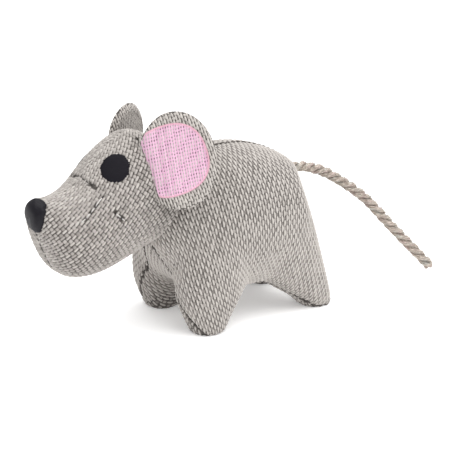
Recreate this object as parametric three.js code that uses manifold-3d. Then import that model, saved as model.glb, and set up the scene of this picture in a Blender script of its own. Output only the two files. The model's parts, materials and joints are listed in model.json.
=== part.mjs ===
// A stuffed canvas mouse for a dog: sewn panels over stuffing, a squeaker, folding ears and a rope tail.
// Millimetres. The nose points to -X, the tail to +X, the mouse's left to -Y, and the soles stand on Z = 0.
import * as THREE from "three";
import { mergeVertices } from "three/addons/utils/BufferGeometryUtils.js";
import Module from "manifold-3d";

const wasm = await Module();
wasm.setup();

// Cloth, thread and fits
const canvasThickness = 1.1;
const seatGap = 0.3;

// Body: its box, and the shape inside that box from the neck to the rump. Along is a share of the length,
// low and high are shares of the height, and wide is a share of the width
const bodyFront = -14;
const bodyLength = 97;
const bodyBottom = 21.5;
const bodyHeight = 67.5;
const bodyWidth = 70;
const bodyShape = [
  { along: 0, low: 0.422, high: 0.674, wide: 0.314 },
  { along: 0.093, low: 0.2, high: 0.837, wide: 0.629 },
  { along: 0.247, low: 0.037, high: 0.956, wide: 0.857 },
  { along: 0.454, low: 0, high: 1, wide: 0.986 },
  { along: 0.66, low: 0, high: 0.963, wide: 1 },
  { along: 0.845, low: 0.007, high: 0.859, wide: 0.943 },
  { along: 0.948, low: 0.037, high: 0.756, wide: 0.829 },
  { along: 1, low: 0.126, high: 0.615, wide: 0.543 },
];
const bodySquareness = 2.4;
const bellyPanelWidth = 42;
const bellyPanelHeight = 24.5;

// Head: the same, from the muzzle to the nape, which is sewn on over the front of the body
const neckOverlap = 14;
const headLength = 82;
const headBottom = 38.3;
const headHeight = 71.2;
const headWidth = 45;
const headShape = [
  { along: 0, low: 0.417, high: 0.593, wide: 0.289 },
  { along: 0.018, low: 0.347, high: 0.614, wide: 0.444 },
  { along: 0.061, low: 0.228, high: 0.621, wide: 0.6 },
  { along: 0.116, low: 0.101, high: 0.618, wide: 0.733 },
  { along: 0.195, low: 0.024, high: 0.635, wide: 0.844 },
  { along: 0.305, low: 0, high: 0.691, wide: 0.933 },
  { along: 0.427, low: 0.01, high: 0.824, wide: 0.978 },
  { along: 0.561, low: 0.052, high: 0.944, wide: 1 },
  { along: 0.695, low: 0.108, high: 1, wide: 1 },
  { along: 0.841, low: 0.164, high: 0.937, wide: 0.956 },
  { along: 0.939, low: 0.221, high: 0.824, wide: 0.844 },
  { along: 1, low: 0.319, high: 0.712, wide: 0.622 },
];
const headSquareness = 2.3;

// Legs: places of the feet, and the shape of each leg from the sole to the hip. Height and across are
// shares of the leg's height and width, middle and along are shares of its length, counted from the foot
const legSpacing = 45;
const legHeight = 58;
const legWidth = 24;
const frontFootFromNeck = 25;
const frontLegLength = 41;
const frontLegReach = 26.5;
const frontLegShape = [
  { height: 0, middle: 0, along: 0.293, across: 0.5 },
  { height: 0.043, middle: 0, along: 0.415, across: 0.708 },
  { height: 0.172, middle: 0.012, along: 0.561, across: 0.875 },
  { height: 0.31, middle: 0.049, along: 0.805, across: 0.958 },
  { height: 0.466, middle: 0.098, along: 1, across: 1 },
  { height: 0.69, middle: 0.134, along: 1, across: 0.958 },
  { height: 1, middle: 0.317, along: 0.634, across: 0.5 },
];
const rearFootFromRump = 5;
const rearLegLength = 46;
const rearLegShape = [
  { height: 0, middle: 0, along: 0.239, across: 0.5 },
  { height: 0.043, middle: -0.011, along: 0.326, across: 0.708 },
  { height: 0.172, middle: -0.087, along: 0.5, across: 0.875 },
  { height: 0.31, middle: -0.217, along: 0.761, across: 0.958 },
  { height: 0.466, middle: -0.348, along: 1, across: 1 },
  { height: 0.69, middle: -0.391, along: 0.957, across: 0.958 },
  { height: 1, middle: -0.5, along: 0.565, across: 0.5 },
];
const legSquareness = 2.5;

// Nose: a rounded triangle of raised satin stitches on the end of the muzzle
const noseWidth = 16;
const noseHeight = 19;
const noseLift = 2.2;
const noseProud = 3;
const noseWrap = 3;
const noseRounding = 1.6;

// Eyes: flat satin stitched discs
const eyeDiameter = 15;
const eyeThickness = 1.2;
const eyeFromNape = 43.5;
const eyeHeightAngle = 54;
const eyeTurn = 36;
const eyeLift = 32;

// Ears: an oval flap of two canvas layers, cut straight along its fold, on a root sewn to the head. They
// are sewn on by hand, and the right one sits lower
const earDepth = 40;
const earHeight = 50;
const earCentreFromFold = 12.2;
const earOvalTwist = 12;
const earThickness = 1.3;
const earRollRadius = 1.5;
const earRootDepth = 10;
const earFoldLength = 39;
const earFromNape = 25;
const leftEar = { heightAngle: 26, foldFromHead: 3.6, leanForward: 8, leanInward: 22, flare: 28 };
const rightEar = { heightAngle: 10, foldFromHead: 6, leanForward: 10, leanInward: 20, flare: 26 };
const patchDepth = 36;
const patchHeight = 38;
const patchThickness = 0.8;

// Tail: a laid rope held by a knot inside the rump. The route is counted from the pivot behind the rump
const ropeDiameter = 6;
const knotDiameter = 14;
const knotWaistDiameter = 11;
const knotLength = 12;
const knotFromRump = 13;
const tailHeight = 69;
const tailPivotFromRump = 3.2;
const tailRoute = [
  [0, 0, 0],
  [7.3, -0.3, -2],
  [13.3, -1, -4.4],
  [24.4, -4, -11.5],
  [37.8, -9, -23],
  [50.8, -15, -39.2],
  [60.8, -20, -51.6],
  [70.3, -26, -63.8],
];
const tailLiftPoint = 2;

// Squeaker: a flat round bladder with a whistle reed pushed into its mouth
const squeakerFromNeck = 56;
const squeakerHeight = 56;
const bladderDiameter = 36;
const bladderThickness = 22;
const bladderWall = 1.2;
const reedDiameter = 8;
const reedLength = 9;
const reedBore = 3;
const reedFlangeDiameter = 13;
const reedFlangeThickness = 1.5;

// Fineness of the curved faces
const bodySides = 20;
const bodyRings = 2;
const headSides = 20;
const headRings = 1;
const legSides = 12;
const legRings = 1;
const ovalSides = 32;
const eyeSides = 24;
const ropeSides = 10;
const ropeSteps = 7;
const tailBaseSteps = 3;
const noseCurveSteps = 6;
const noseBevelSteps = 2;
const squeakerSides = 20;
const bladderSteps = 7;
const mergeDistance = 1e-4;
const reach = 1000;

const canvas = new THREE.MeshStandardMaterial({ color: 0xb3ada6, roughness: 0.95, metalness: 0 });
const stuffing = new THREE.MeshStandardMaterial({ color: 0xf2f0ea, roughness: 1, metalness: 0 });
const blackThread = new THREE.MeshStandardMaterial({ color: 0x1b1a1e, roughness: 0.45, metalness: 0 });
const pinkThread = new THREE.MeshStandardMaterial({ color: 0xeec3d6, roughness: 0.6, metalness: 0 });
const rope = new THREE.MeshStandardMaterial({ color: 0xc2ab97, roughness: 0.95, metalness: 0 });
const bladderPlastic = new THREE.MeshStandardMaterial({ color: 0xe9e6da, roughness: 0.5, metalness: 0 });
const reedPlastic = new THREE.MeshStandardMaterial({ color: 0xdedede, roughness: 0.4, metalness: 0 });

const radians = THREE.MathUtils.degToRad;

// A closed geometry as a solid that can be joined and cut.
function solid(geometry) {
  const bare = geometry.clone();
  bare.deleteAttribute("normal");
  bare.deleteAttribute("uv");
  const merged = mergeVertices(bare, mergeDistance);
  return new wasm.Manifold(
    new wasm.Mesh({
      numProp: 3,
      vertProperties: merged.attributes.position.array,
      triVerts: new Uint32Array(merged.index.array),
    }),
  );
}

// A solid as a named mesh.
function piece(name, shape, material) {
  const made = shape.getMesh();
  const geometry = new THREE.BufferGeometry();
  geometry.setAttribute("position", new THREE.BufferAttribute(made.vertProperties, 3));
  geometry.setIndex(new THREE.BufferAttribute(made.triVerts, 1));
  geometry.computeVertexNormals();
  const mesh = new THREE.Mesh(geometry, material.clone());
  mesh.name = name;
  return mesh;
}

// A box geometry between a low and a high limit on each axis, far outside the toy where no limit is given.
function between({ x = [-reach, reach], y = [-reach, reach], z = [-reach, reach] }) {
  const geometry = new THREE.BoxGeometry(x[1] - x[0], y[1] - y[0], z[1] - z[0]);
  return geometry.translate((x[0] + x[1]) / 2, (y[0] + y[1]) / 2, (z[0] + z[1]) / 2);
}

// The value of one field between stations: a cubic through them, each slope taken from the neighbours.
function valueAt(stations, field, at) {
  const last = stations.length - 1;
  const found = stations.findIndex((station) => station.at > at);
  const after = THREE.MathUtils.clamp(found < 0 ? last : found, 1, last);
  const slope = (k) => {
    const near = stations[Math.max(k - 1, 0)];
    const far = stations[Math.min(k + 1, last)];
    return (far[field] - near[field]) / (far.at - near.at);
  };
  const from = stations[after - 1];
  const to = stations[after];
  const span = to.at - from.at;
  const t = THREE.MathUtils.clamp((at - from.at) / span, 0, 1);
  return (
    from[field] * (1 + 2 * t) * (1 - t) ** 2 +
    to[field] * t * t * (3 - 2 * t) +
    span * (slope(after - 1) * t * (1 - t) ** 2 - slope(after) * t * t * (1 - t))
  );
}

// The places of the rings of a form: its stations, with equal steps from each to the next.
function ringPlaces(stations, steps) {
  return stations.flatMap((station, k) => {
    if (k === stations.length - 1) {
      return [station.at];
    }
    const span = stations[k + 1].at - station.at;
    return Array.from({ length: steps }, (_, step) => station.at + (span * step) / steps);
  });
}

// A signed power, which squares off an ellipse's cosine and sine.
function softPower(value, squareness) {
  return Math.sign(value) * Math.abs(value) ** (2 / squareness);
}

// A closed skin over rings of equal point count, with a flat cap on each end.
function loft(rings) {
  const count = rings[0].length;
  const last = (rings.length - 1) * count;
  const index = [];
  for (let first = 0; first < last; first += count) {
    for (let k = 0; k < count; k++) {
      const next = (k + 1) % count;
      index.push(first + k, first + next, first + count + next);
      index.push(first + k, first + count + next, first + count + k);
    }
  }
  for (let k = 1; k + 1 < count; k++) {
    index.push(0, k + 1, k, last, last + k, last + k + 1);
  }
  const geometry = new THREE.BufferGeometry().setFromPoints(rings.flat());
  geometry.setIndex(index);
  return solid(geometry);
}

// Stations moved along their axis so that both ends go out by the same amount.
function stretched(stations, out) {
  const first = stations[0].at;
  const length = stations.at(-1).at - first;
  return stations.map((s) => ({ ...s, at: first - out + ((s.at - first) * (length + 2 * out)) / length }));
}

// A point on a lengthways form, at an angle up from its left side.
function surfacePoint(stations, squareness, at, angle) {
  const low = valueAt(stations, "low", at);
  const high = valueAt(stations, "high", at);
  const half = valueAt(stations, "half", at);
  const sideways = -half * softPower(Math.cos(angle), squareness);
  const upwards = ((high - low) / 2) * softPower(Math.sin(angle), squareness);
  return new THREE.Vector3(at, sideways, (low + high) / 2 + upwards);
}

// A lengthways form such as the body or the head, grown by out all round.
function lengthwaysForm(stations, squareness, sides, steps, out) {
  const grown = stretched(stations, out).map((s) => ({
    at: s.at,
    low: s.low - out,
    high: s.high + out,
    half: s.half + out,
  }));
  const rings = ringPlaces(grown, steps).map((at) =>
    Array.from({ length: sides }, (_, k) =>
      surfacePoint(grown, squareness, at, Math.PI - (2 * Math.PI * k) / sides),
    ),
  );
  return loft(rings);
}

// An upright form such as a leg, grown by out all round.
function uprightForm(stations, out) {
  const grown = stretched(stations, out).map((s) => ({
    at: s.at,
    middle: s.middle,
    along: s.along + out,
    across: s.across + out,
  }));
  const rings = ringPlaces(grown, legRings).map((at) =>
    Array.from({ length: legSides }, (_, k) => {
      const angle = (2 * Math.PI * k) / legSides;
      const along = valueAt(grown, "along", at) * softPower(Math.cos(angle), legSquareness);
      const across = valueAt(grown, "across", at) * softPower(Math.sin(angle), legSquareness);
      return new THREE.Vector3(valueAt(grown, "middle", at) + along, across - legSpacing / 2, at);
    }),
  );
  return loft(rings);
}

// The stations of a lengthways form, from its box and its shape.
function lengthwaysStations(shape, front, length, { bottom, height, width }) {
  return shape.map((s) => ({
    at: front + s.along * length,
    low: bottom + s.low * height,
    high: bottom + s.high * height,
    half: (s.wide * width) / 2,
  }));
}

// The stations of a leg over its foot.
function legStations(shape, foot, length) {
  return shape.map((s) => ({
    at: s.height * legHeight,
    middle: foot + s.middle * length,
    along: (s.along * length) / 2,
    across: (s.across * legWidth) / 2,
  }));
}

const bodyRear = bodyFront + bodyLength;
const nape = bodyFront + neckOverlap;
const muzzleEnd = nape - headLength;
const frontFoot = bodyFront + frontFootFromNeck;
const rearFoot = bodyRear - rearFootFromRump;
const bellyArchAt = frontFoot + frontLegReach;
const bodyStations = lengthwaysStations(bodyShape, bodyFront, bodyLength, {
  bottom: bodyBottom,
  height: bodyHeight,
  width: bodyWidth,
});
const headStations = lengthwaysStations(headShape, muzzleEnd, headLength, {
  bottom: headBottom,
  height: headHeight,
  width: headWidth,
});
const bodyForm = (out) => lengthwaysForm(bodyStations, bodySquareness, bodySides, bodyRings, out);
const headForm = (out) => lengthwaysForm(headStations, headSquareness, headSides, headRings, out);

const headSpace = headForm(seatGap);
const bodySpace = bodyForm(seatGap);
const leftHalf = solid(between({ y: [-reach, -seatGap / 2] }));
const rightHalf = solid(between({ y: [seatGap / 2, reach] }));

const mouse = new THREE.Group();
const rightSide = new THREE.Group();
rightSide.scale.y = -1;
mouse.add(rightSide);

// One piece on the left, and its mirror image on the right.
function pair(left, right, shape, material) {
  mouse.add(piece(left, shape, material));
  rightSide.add(piece(right, shape, material));
}

// A closed outline of radius and place along the axis, turned about that axis.
function turned(profile, sides) {
  const points = profile.map(([radius, along]) => new THREE.Vector2(radius, along));
  return new THREE.LatheGeometry(points, sides);
}

// Squeaker: its axis lies across the mouse, with the reed to the left
const reedRadius = reedDiameter / 2;
const flangeRadius = reedFlangeDiameter / 2;
const mouthAngle = Math.asin((reedRadius + seatGap) / (bladderDiameter / 2 - bladderWall));

function squeakerPiece(profile) {
  return solid(turned(profile, squeakerSides).translate(bodyFront + squeakerFromNeck, 0, squeakerHeight));
}

// The bladder's oval, from its mouth on the left to the axis on the right.
function bladderOval(out) {
  const radius = bladderDiameter / 2 + out;
  const thick = bladderThickness / 2 + out;
  const curved = Array.from({ length: bladderSteps }, (_, k) => {
    const angle = mouthAngle + ((Math.PI - mouthAngle) * k) / bladderSteps;
    return [radius * Math.sin(angle), -thick * Math.cos(angle)];
  });
  return [...curved, [0, thick]];
}

const bladderOuter = bladderOval(0);
const bladderInner = bladderOval(-bladderWall).reverse();
const flangeSeat = bladderOuter[0][1] - seatGap;
const flangeFace = flangeSeat - reedFlangeThickness;
const reedOutline = [
  [reedBore / 2, flangeFace],
  [flangeRadius, flangeFace],
  [flangeRadius, flangeSeat],
  [reedRadius, flangeSeat],
  [reedRadius, flangeSeat + reedLength],
  [reedBore / 2, flangeSeat + reedLength],
  [reedBore / 2, flangeFace],
];
const bladderOutline = [...bladderOuter, ...bladderInner, bladderOuter[0]];
mouse.add(piece("squeaker_bladder", squeakerPiece(bladderOutline), bladderPlastic));
mouse.add(piece("squeaker_reed", squeakerPiece(reedOutline), reedPlastic));
const bladderRoom = bladderOval(seatGap);
const flangeRoom = [
  [0, flangeFace - seatGap],
  [flangeRadius + seatGap, flangeFace - seatGap],
  [flangeRadius + seatGap, 0],
  [0, 0],
];
const bladderSpace = squeakerPiece([[0, bladderRoom[0][1]], ...bladderRoom]);
const squeakerSpace = bladderSpace.add(squeakerPiece(flangeRoom));

// The held end of the rope: a knot with two lobes, and the stub that comes out of the rump seam.
const ropeRadius = ropeDiameter / 2;
const knotAt = bodyRear - knotFromRump;
const tailPivot = bodyRear + tailPivotFromRump;

function ropeEnd(out, exit) {
  const half = knotLength / 2 + out;
  const profile = [
    [0, -half],
    [ropeRadius + out, -half],
    [knotDiameter / 2 + out, -half / 2],
    [knotWaistDiameter / 2 + out, 0],
    [knotDiameter / 2 + out, half / 2],
    [ropeRadius + out, half],
    [ropeRadius + out, exit - knotAt],
    [0, exit - knotAt],
  ];
  const geometry = turned(profile, ropeSides).rotateZ(-Math.PI / 2);
  return solid(geometry.translate(knotAt, 0, tailHeight));
}

const stubEnd = tailPivot - ropeRadius - seatGap;
mouse.add(piece("tail_root_knot", ropeEnd(0, stubEnd), rope));
const ropeSpace = ropeEnd(seatGap, bodyRear + ropeDiameter);

// Body: canvas panels round two halves of stuffing, with room for the squeaker and the rope's knot
function bellyRegion(out) {
  const half = bellyPanelWidth / 2 + out;
  return solid(between({ y: [-half, half], z: [-reach, bodyBottom + bellyPanelHeight + out] }));
}

const bodyShell = bodyForm(0).subtract(bodyForm(-canvasThickness)).subtract(ropeSpace);
const sidePanel = bodyShell.intersect(leftHalf).subtract(bellyRegion(seatGap));
const bodyStuffing = bodyForm(-canvasThickness - seatGap).subtract(squeakerSpace).subtract(ropeSpace);
pair("body_left_panel", "body_right_panel", sidePanel, canvas);
mouse.add(piece("belly_panel", bodyShell.intersect(bellyRegion(0)), canvas));
mouse.add(piece("body_stuffing_left", bodyStuffing.intersect(leftHalf), stuffing));
mouse.add(piece("body_stuffing_right", bodyStuffing.intersect(rightHalf), stuffing));

// Legs: a canvas cover, open towards the body, over a plug of stuffing
const legEnds = [
  ["front", legStations(frontLegShape, frontFoot, frontLegLength), [-reach, bellyArchAt - seatGap / 2]],
  ["rear", legStations(rearLegShape, rearFoot, rearLegLength), [bellyArchAt + seatGap / 2, reach]],
];
for (const [end, stations, x] of legEnds) {
  const outside = uprightForm(stations, 0).subtract(bodySpace).intersect(solid(between({ x })));
  const cover = outside.subtract(uprightForm(stations, -canvasThickness));
  const plug = outside.intersect(uprightForm(stations, -canvasThickness - seatGap));
  pair(`${end}_left_leg_cover`, `${end}_right_leg_cover`, cover, canvas);
  pair(`${end}_left_leg_stuffing`, `${end}_right_leg_stuffing`, plug, stuffing);
}

// Head: two canvas panels that meet along the chin and the crown, over one piece of stuffing
const headShell = headForm(0).subtract(headForm(-canvasThickness)).subtract(bodySpace);
pair("head_left_panel", "head_right_panel", headShell.intersect(leftHalf), canvas);
mouse.add(piece("head_stuffing", headForm(-canvasThickness - seatGap).subtract(bodySpace), stuffing));

// Nose: a triangle whose corners are rounded by curves through the middles of its sides, which leaves
// two thirds of its width and three quarters of its height, extruded backwards on to the muzzle
const noseSide = (noseWidth - 2 * noseRounding) * (3 / 4);
const noseTall = (noseHeight - 2 * noseRounding) * (4 / 3);
const noseTop = noseHeight / 2 - noseRounding;
const noseShape = new THREE.Shape();
noseShape.moveTo(0, noseTop);
noseShape.quadraticCurveTo(-noseSide, noseTop, -noseSide / 2, noseTop - noseTall / 2);
noseShape.quadraticCurveTo(0, noseTop - noseTall, noseSide / 2, noseTop - noseTall / 2);
noseShape.quadraticCurveTo(noseSide, noseTop, 0, noseTop);
const noseGeometry = new THREE.ExtrudeGeometry(noseShape, {
  depth: noseProud + noseWrap - 2 * noseRounding,
  bevelSize: noseRounding,
  bevelThickness: noseRounding,
  bevelSegments: noseBevelSteps,
  curveSegments: noseCurveSteps,
});
noseGeometry.rotateX(Math.PI / 2);
noseGeometry.rotateZ(Math.PI / 2);
const noseCentreHeight = (headStations[0].low + headStations[0].high) / 2 + noseLift;
noseGeometry.translate(muzzleEnd - noseProud + noseRounding, 0, noseCentreHeight);
mouse.add(piece("nose", solid(noseGeometry).subtract(headSpace), blackThread));

// Eyes: a disc of the layer that lies on the head, cut along the way the eye looks
const eyeAt = nape - eyeFromNape;
const eyePlace = surfacePoint(headStations, headSquareness, eyeAt, radians(eyeHeightAngle));
const eyeLooks = new THREE.Vector3(
  -Math.sin(radians(eyeTurn)) * Math.cos(radians(eyeLift)),
  -Math.cos(radians(eyeTurn)) * Math.cos(radians(eyeLift)),
  Math.sin(radians(eyeLift)),
);
const eyeTurning = new THREE.Quaternion().setFromUnitVectors(new THREE.Vector3(0, 1, 0), eyeLooks);
const eyeCutter = new THREE.CylinderGeometry(eyeDiameter / 2, eyeDiameter / 2, eyeDiameter, eyeSides);
eyeCutter.applyQuaternion(eyeTurning).translate(...eyePlace);
const eye = headForm(seatGap + eyeThickness).subtract(headSpace).intersect(solid(eyeCutter));
pair("left_eye", "right_eye", eye, blackThread);

// Ears: the back layer carries the roll that turns on the fold, and the root reaches from it to the head.
// Each is made on the left, in axes straight out of its fold, up along it and out of its front face
function ear(side, group, { heightAngle, foldFromHead, leanForward, leanInward, flare }) {
  const rise = new THREE.Vector3(-Math.tan(radians(leanForward)), Math.tan(radians(leanInward)), 1);
  const up = rise.normalize();
  const back = new THREE.Vector3(Math.cos(radians(flare)), -Math.sin(radians(flare)), 0);
  const out = back.addScaledVector(up, -back.dot(up)).normalize();
  const front = new THREE.Vector3().crossVectors(out, up);
  const seat = surfacePoint(headStations, headSquareness, nape - earFromNape, radians(heightAngle));
  const fold = seat.addScaledVector(out, foldFromHead);
  const placing = new THREE.Matrix4().makeBasis(out, up, front).setPosition(fold);
  const placed = (geometry) => solid(geometry.applyMatrix4(placing));
  const beyond = (start) => placed(between({ x: [start, reach] }));

  // A flat oval between two heights over the fold.
  const oval = (centre, depth, height, low, high) => {
    const outline = new THREE.Shape();
    outline.absellipse(centre, 0, depth / 2, height / 2, 0, 2 * Math.PI, false, -radians(earOvalTwist));
    const options = { depth: high - low, bevelEnabled: false, curveSegments: ovalSides / 2 };
    return placed(new THREE.ExtrudeGeometry(outline, options).translate(0, 0, low));
  };

  const foldClear = earRollRadius + seatGap;
  const frontLow = seatGap / 2;
  const patchLow = frontLow + earThickness + seatGap;
  const layer = (low) => oval(earCentreFromFold, earDepth, earHeight, low, low + earThickness);
  const patch = oval(earCentreFromFold, patchDepth, patchHeight, patchLow, patchLow + patchThickness);
  const roll = placed(new THREE.CylinderGeometry(earRollRadius, earRollRadius, earFoldLength, ropeSides));
  const rootOval = oval(0, 2 * earRootDepth, earFoldLength, -earRollRadius, earRollRadius);
  const root = rootOval.subtract(beyond(-foldClear)).subtract(headSpace);
  const backLayer = layer(-earThickness - seatGap / 2).intersect(beyond(0)).add(roll);
  group.add(piece(`${side}_ear_root`, root, canvas));
  group.add(piece(`${side}_ear_back`, backLayer, canvas));
  group.add(piece(`${side}_ear_front`, layer(frontLow).intersect(beyond(foldClear)), canvas));
  group.add(piece(`${side}_ear_patch`, patch.intersect(beyond(foldClear)), pinkThread));
}

ear("left", mouse, leftEar);
ear("right", rightSide, rightEar);

// Tail: two lengths of rope along the route, each with a round end on its pivot
function ropeTube(points, stopShort, steps) {
  const route = new THREE.CatmullRomCurve3(points);
  const kept = 1 - stopShort / route.getLength();
  const path = Array.from({ length: steps + 1 }, (_, k) => route.getPointAt((kept * k) / steps));
  const tube = new THREE.ExtrudeGeometry(new THREE.Shape().absarc(0, 0, ropeRadius, 0, 2 * Math.PI), {
    steps,
    curveSegments: ropeSides / 2,
    extrudePath: new THREE.CatmullRomCurve3(path),
  });
  const roundEnd = new THREE.SphereGeometry(ropeRadius, ropeSides, ropeSides / 2);
  return solid(tube).add(solid(roundEnd.translate(...points[0])));
}

const route = tailRoute.map(([x, y, z]) => new THREE.Vector3(tailPivot + x, y, tailHeight + z));
const baseRoute = route.slice(0, tailLiftPoint + 1);
const freeRoute = route.slice(tailLiftPoint);
mouse.add(piece("tail_base", ropeTube(baseRoute, ropeRadius + seatGap, tailBaseSteps), rope));
mouse.add(piece("tail_rope", ropeTube(freeRoute, 0, ropeSteps), rope));

export default mouse;
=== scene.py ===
import json
import math

import bmesh
import bpy
import numpy as np
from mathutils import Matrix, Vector


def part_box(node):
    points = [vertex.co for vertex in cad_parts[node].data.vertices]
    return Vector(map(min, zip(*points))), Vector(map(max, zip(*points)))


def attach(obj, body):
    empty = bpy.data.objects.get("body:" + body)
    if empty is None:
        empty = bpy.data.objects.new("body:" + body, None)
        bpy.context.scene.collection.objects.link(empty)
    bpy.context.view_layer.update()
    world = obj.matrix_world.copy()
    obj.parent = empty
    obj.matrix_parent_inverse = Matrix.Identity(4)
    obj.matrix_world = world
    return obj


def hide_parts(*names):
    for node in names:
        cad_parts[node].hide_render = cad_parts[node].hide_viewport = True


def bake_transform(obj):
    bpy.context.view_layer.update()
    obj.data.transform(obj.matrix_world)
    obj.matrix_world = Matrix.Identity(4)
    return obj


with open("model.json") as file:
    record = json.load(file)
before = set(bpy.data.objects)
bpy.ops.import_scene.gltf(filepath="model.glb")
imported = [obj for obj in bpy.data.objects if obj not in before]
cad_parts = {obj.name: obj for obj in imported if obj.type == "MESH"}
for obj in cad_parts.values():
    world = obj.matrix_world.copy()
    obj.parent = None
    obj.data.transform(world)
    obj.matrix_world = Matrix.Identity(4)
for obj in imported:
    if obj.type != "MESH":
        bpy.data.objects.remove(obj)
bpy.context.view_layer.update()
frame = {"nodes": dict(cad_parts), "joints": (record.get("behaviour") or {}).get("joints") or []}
mm = 0.001
scene = bpy.context.scene
scene.view_settings.view_transform = "Standard"
joints = {joint["name"]: joint for joint in frame["joints"]}
rng = np.random.default_rng(7)
print("frame loaded,", len(frame["nodes"]), "CAD pieces")

# the camera stands where the photograph was taken from: a long lens, from the front left and a little above
cameraPlace = {
    "azimuth": -36.0,
    "elevation": 19.0,
    "distance": 1600 * mm,
    "target": (23.9 * mm, -18.8 * mm, 53 * mm),
    "imagePixels": 452,
    "pixelSize": 0.52 * mm,
    "sensor": 36.0,
}


def placeCamera(place):
    # the camera looks at the target from the azimuth and elevation, at the distance
    azimuth, elevation = math.radians(place["azimuth"]), math.radians(place["elevation"])
    back = Vector((
        math.sin(azimuth) * math.cos(elevation),
        -math.cos(azimuth) * math.cos(elevation),
        math.sin(elevation),
    ))
    camera = bpy.data.objects.new("camera", bpy.data.cameras.new("camera"))
    scene.collection.objects.link(camera)
    camera.location = Vector(place["target"]) + back * place["distance"]
    camera.rotation_mode = "QUATERNION"
    camera.rotation_quaternion = (-back).to_track_quat("-Z", "Y")
    camera.data.sensor_width = place["sensor"]
    # the lens that shows imagePixels times pixelSize at the target's distance
    seen = place["imagePixels"] * place["pixelSize"]
    camera.data.lens = place["sensor"] * place["distance"] / seen
    camera.data.clip_end = 10 * place["distance"]
    scene.camera = camera


placeCamera(cameraPlace)
print("camera placed")


def linkNew(name, mesh):
    # a new object at the origin with the given mesh
    piece = bpy.data.objects.new(name, mesh)
    scene.collection.objects.link(piece)
    return piece


def addPiece(name, points, faces):
    # faces all have the same number of corners, so their loops lie one after the other
    mesh = bpy.data.meshes.new(name)
    points = np.asarray(points, float).reshape(-1, 3)
    mesh.vertices.add(len(points))
    mesh.vertices.foreach_set("co", points.ravel())
    if len(faces):
        faces = np.asarray(faces, np.int32)
        mesh.loops.add(faces.size)
        mesh.loops.foreach_set("vertex_index", faces.ravel())
        mesh.polygons.add(len(faces))
        mesh.polygons.foreach_set("loop_start", np.arange(len(faces), dtype=np.int32) * faces.shape[1])
        mesh.polygons.foreach_set("use_smooth", np.ones(len(faces), bool))
    mesh.update(calc_edges=True)
    return linkNew(name, mesh)


def gridQuads(rows, columns, wrap=False, copies=1):
    # the quads of a grid of rows by columns points, and of further grids stored behind it
    row = np.arange(rows - 1)[:, None] * columns
    column = np.arange(columns if wrap else columns - 1)[None]
    after = (column + 1) % columns
    quads = np.stack([row + column, row + after, row + columns + after, row + columns + column], -1)
    starts = rows * columns * np.arange(copies)[:, None, None]
    return (quads.reshape(1, -1, 4) + starts).reshape(-1, 4)


def readAll(items, name, width, kind=float):
    # one value, or one row of values, for every item of a mesh's list
    values = np.empty(len(items) * width, kind)
    items.foreach_get(name, values)
    return values.reshape(-1, width) if width > 1 else values


def pointsOf(piece):
    # the places of a mesh's points, one row each
    return readAll(piece.data.vertices, "co", 3)


def setPoints(piece, points):
    # moves every point of a mesh to its new place
    piece.data.vertices.foreach_set("co", np.ascontiguousarray(points, float).ravel())
    piece.data.update()


def normalsOf(piece):
    # the direction outwards at each point of a mesh
    return readAll(piece.data.vertex_normals, "vector", 3)


def setAttribute(piece, name, values):
    # one number for each point, which the materials read by its name
    attribute = piece.data.attributes.new(name, "FLOAT", "POINT")
    attribute.data.foreach_set("value", np.ascontiguousarray(values, np.float32).ravel())


def setUv(piece, name, perPoint):
    # a UV map from one value per point
    corners = readAll(piece.data.loops, "vertex_index", 1, np.int32)
    layer = piece.data.uv_layers.new(name=name)
    layer.data.foreach_set("uv", np.ascontiguousarray(perPoint[corners], np.float32).ravel())


def dress(piece, material):
    # a piece's material
    piece.data.materials.append(material)


def closePoles(piece, distance=0.01 * mm):
    # points that fall together at a pole or a seam become one, and the faces are turned outwards
    shape = bmesh.new()
    shape.from_mesh(piece.data)
    bmesh.ops.remove_doubles(shape, verts=shape.verts, dist=distance)
    bmesh.ops.recalc_face_normals(shape, faces=shape.faces)
    shape.to_mesh(piece.data)
    shape.free()


def settle(piece):
    # what the modifiers show becomes the piece's own mesh
    shown = piece.evaluated_get(bpy.context.evaluated_depsgraph_get())
    mesh = bpy.data.meshes.new_from_object(shown)
    piece.modifiers.clear()
    piece.data = mesh


def unit(vectors):
    # each vector over its length
    return vectors / np.maximum(np.linalg.norm(vectors, axis=-1, keepdims=True), 1e-12)


def smoothStep(low, high, values):
    # 0 below low, 1 above high, and 3 s squared less 2 s cubed of the share s between them
    share = np.clip((values - low) / (high - low), 0, 1)
    return share * share * (3 - 2 * share)


def valuesAt(places, values, at):
    # a cubic through the stations, each slope taken from the stations on both sides
    places, values = np.asarray(places, float), np.asarray(values, float)
    near, far = np.maximum(np.arange(len(places)) - 1, 0), np.minimum(np.arange(len(places)) + 1, len(places) - 1)
    slopes = (values[far] - values[near]) / (places[far] - places[near])
    after = np.clip(np.searchsorted(places, at, side="right"), 1, len(places) - 1)
    before = after - 1
    span = places[after] - places[before]
    share = np.clip((at - places[before]) / span, 0, 1)
    return (
        values[before] * (1 + 2 * share) * (1 - share) ** 2
        + values[after] * share**2 * (3 - 2 * share)
        + span * (slopes[before] * share * (1 - share) ** 2 - slopes[after] * share**2 * (1 - share))
    )


def fullTurn(count):
    # angles at even steps once round
    return np.linspace(0, 2 * math.pi, count, endpoint=False)


def softPower(values, squareness):
    # a superellipse's cosine or sine: its size to the power of 2 / squareness, with its sign
    return np.sign(values) * np.abs(values) ** (2 / squareness)


def lengthAlong(line):
    # the length of a line up to each of its points: the sum of the steps before it
    return np.concatenate([[0], np.cumsum(np.linalg.norm(np.diff(line, axis=0), axis=1))])


def readAt(line, at):
    # the places at given lengths along a line, straight between its points
    length = lengthAlong(line)
    return np.stack([np.interp(at, length, line[:, axis]) for axis in range(3)], 1)


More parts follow.
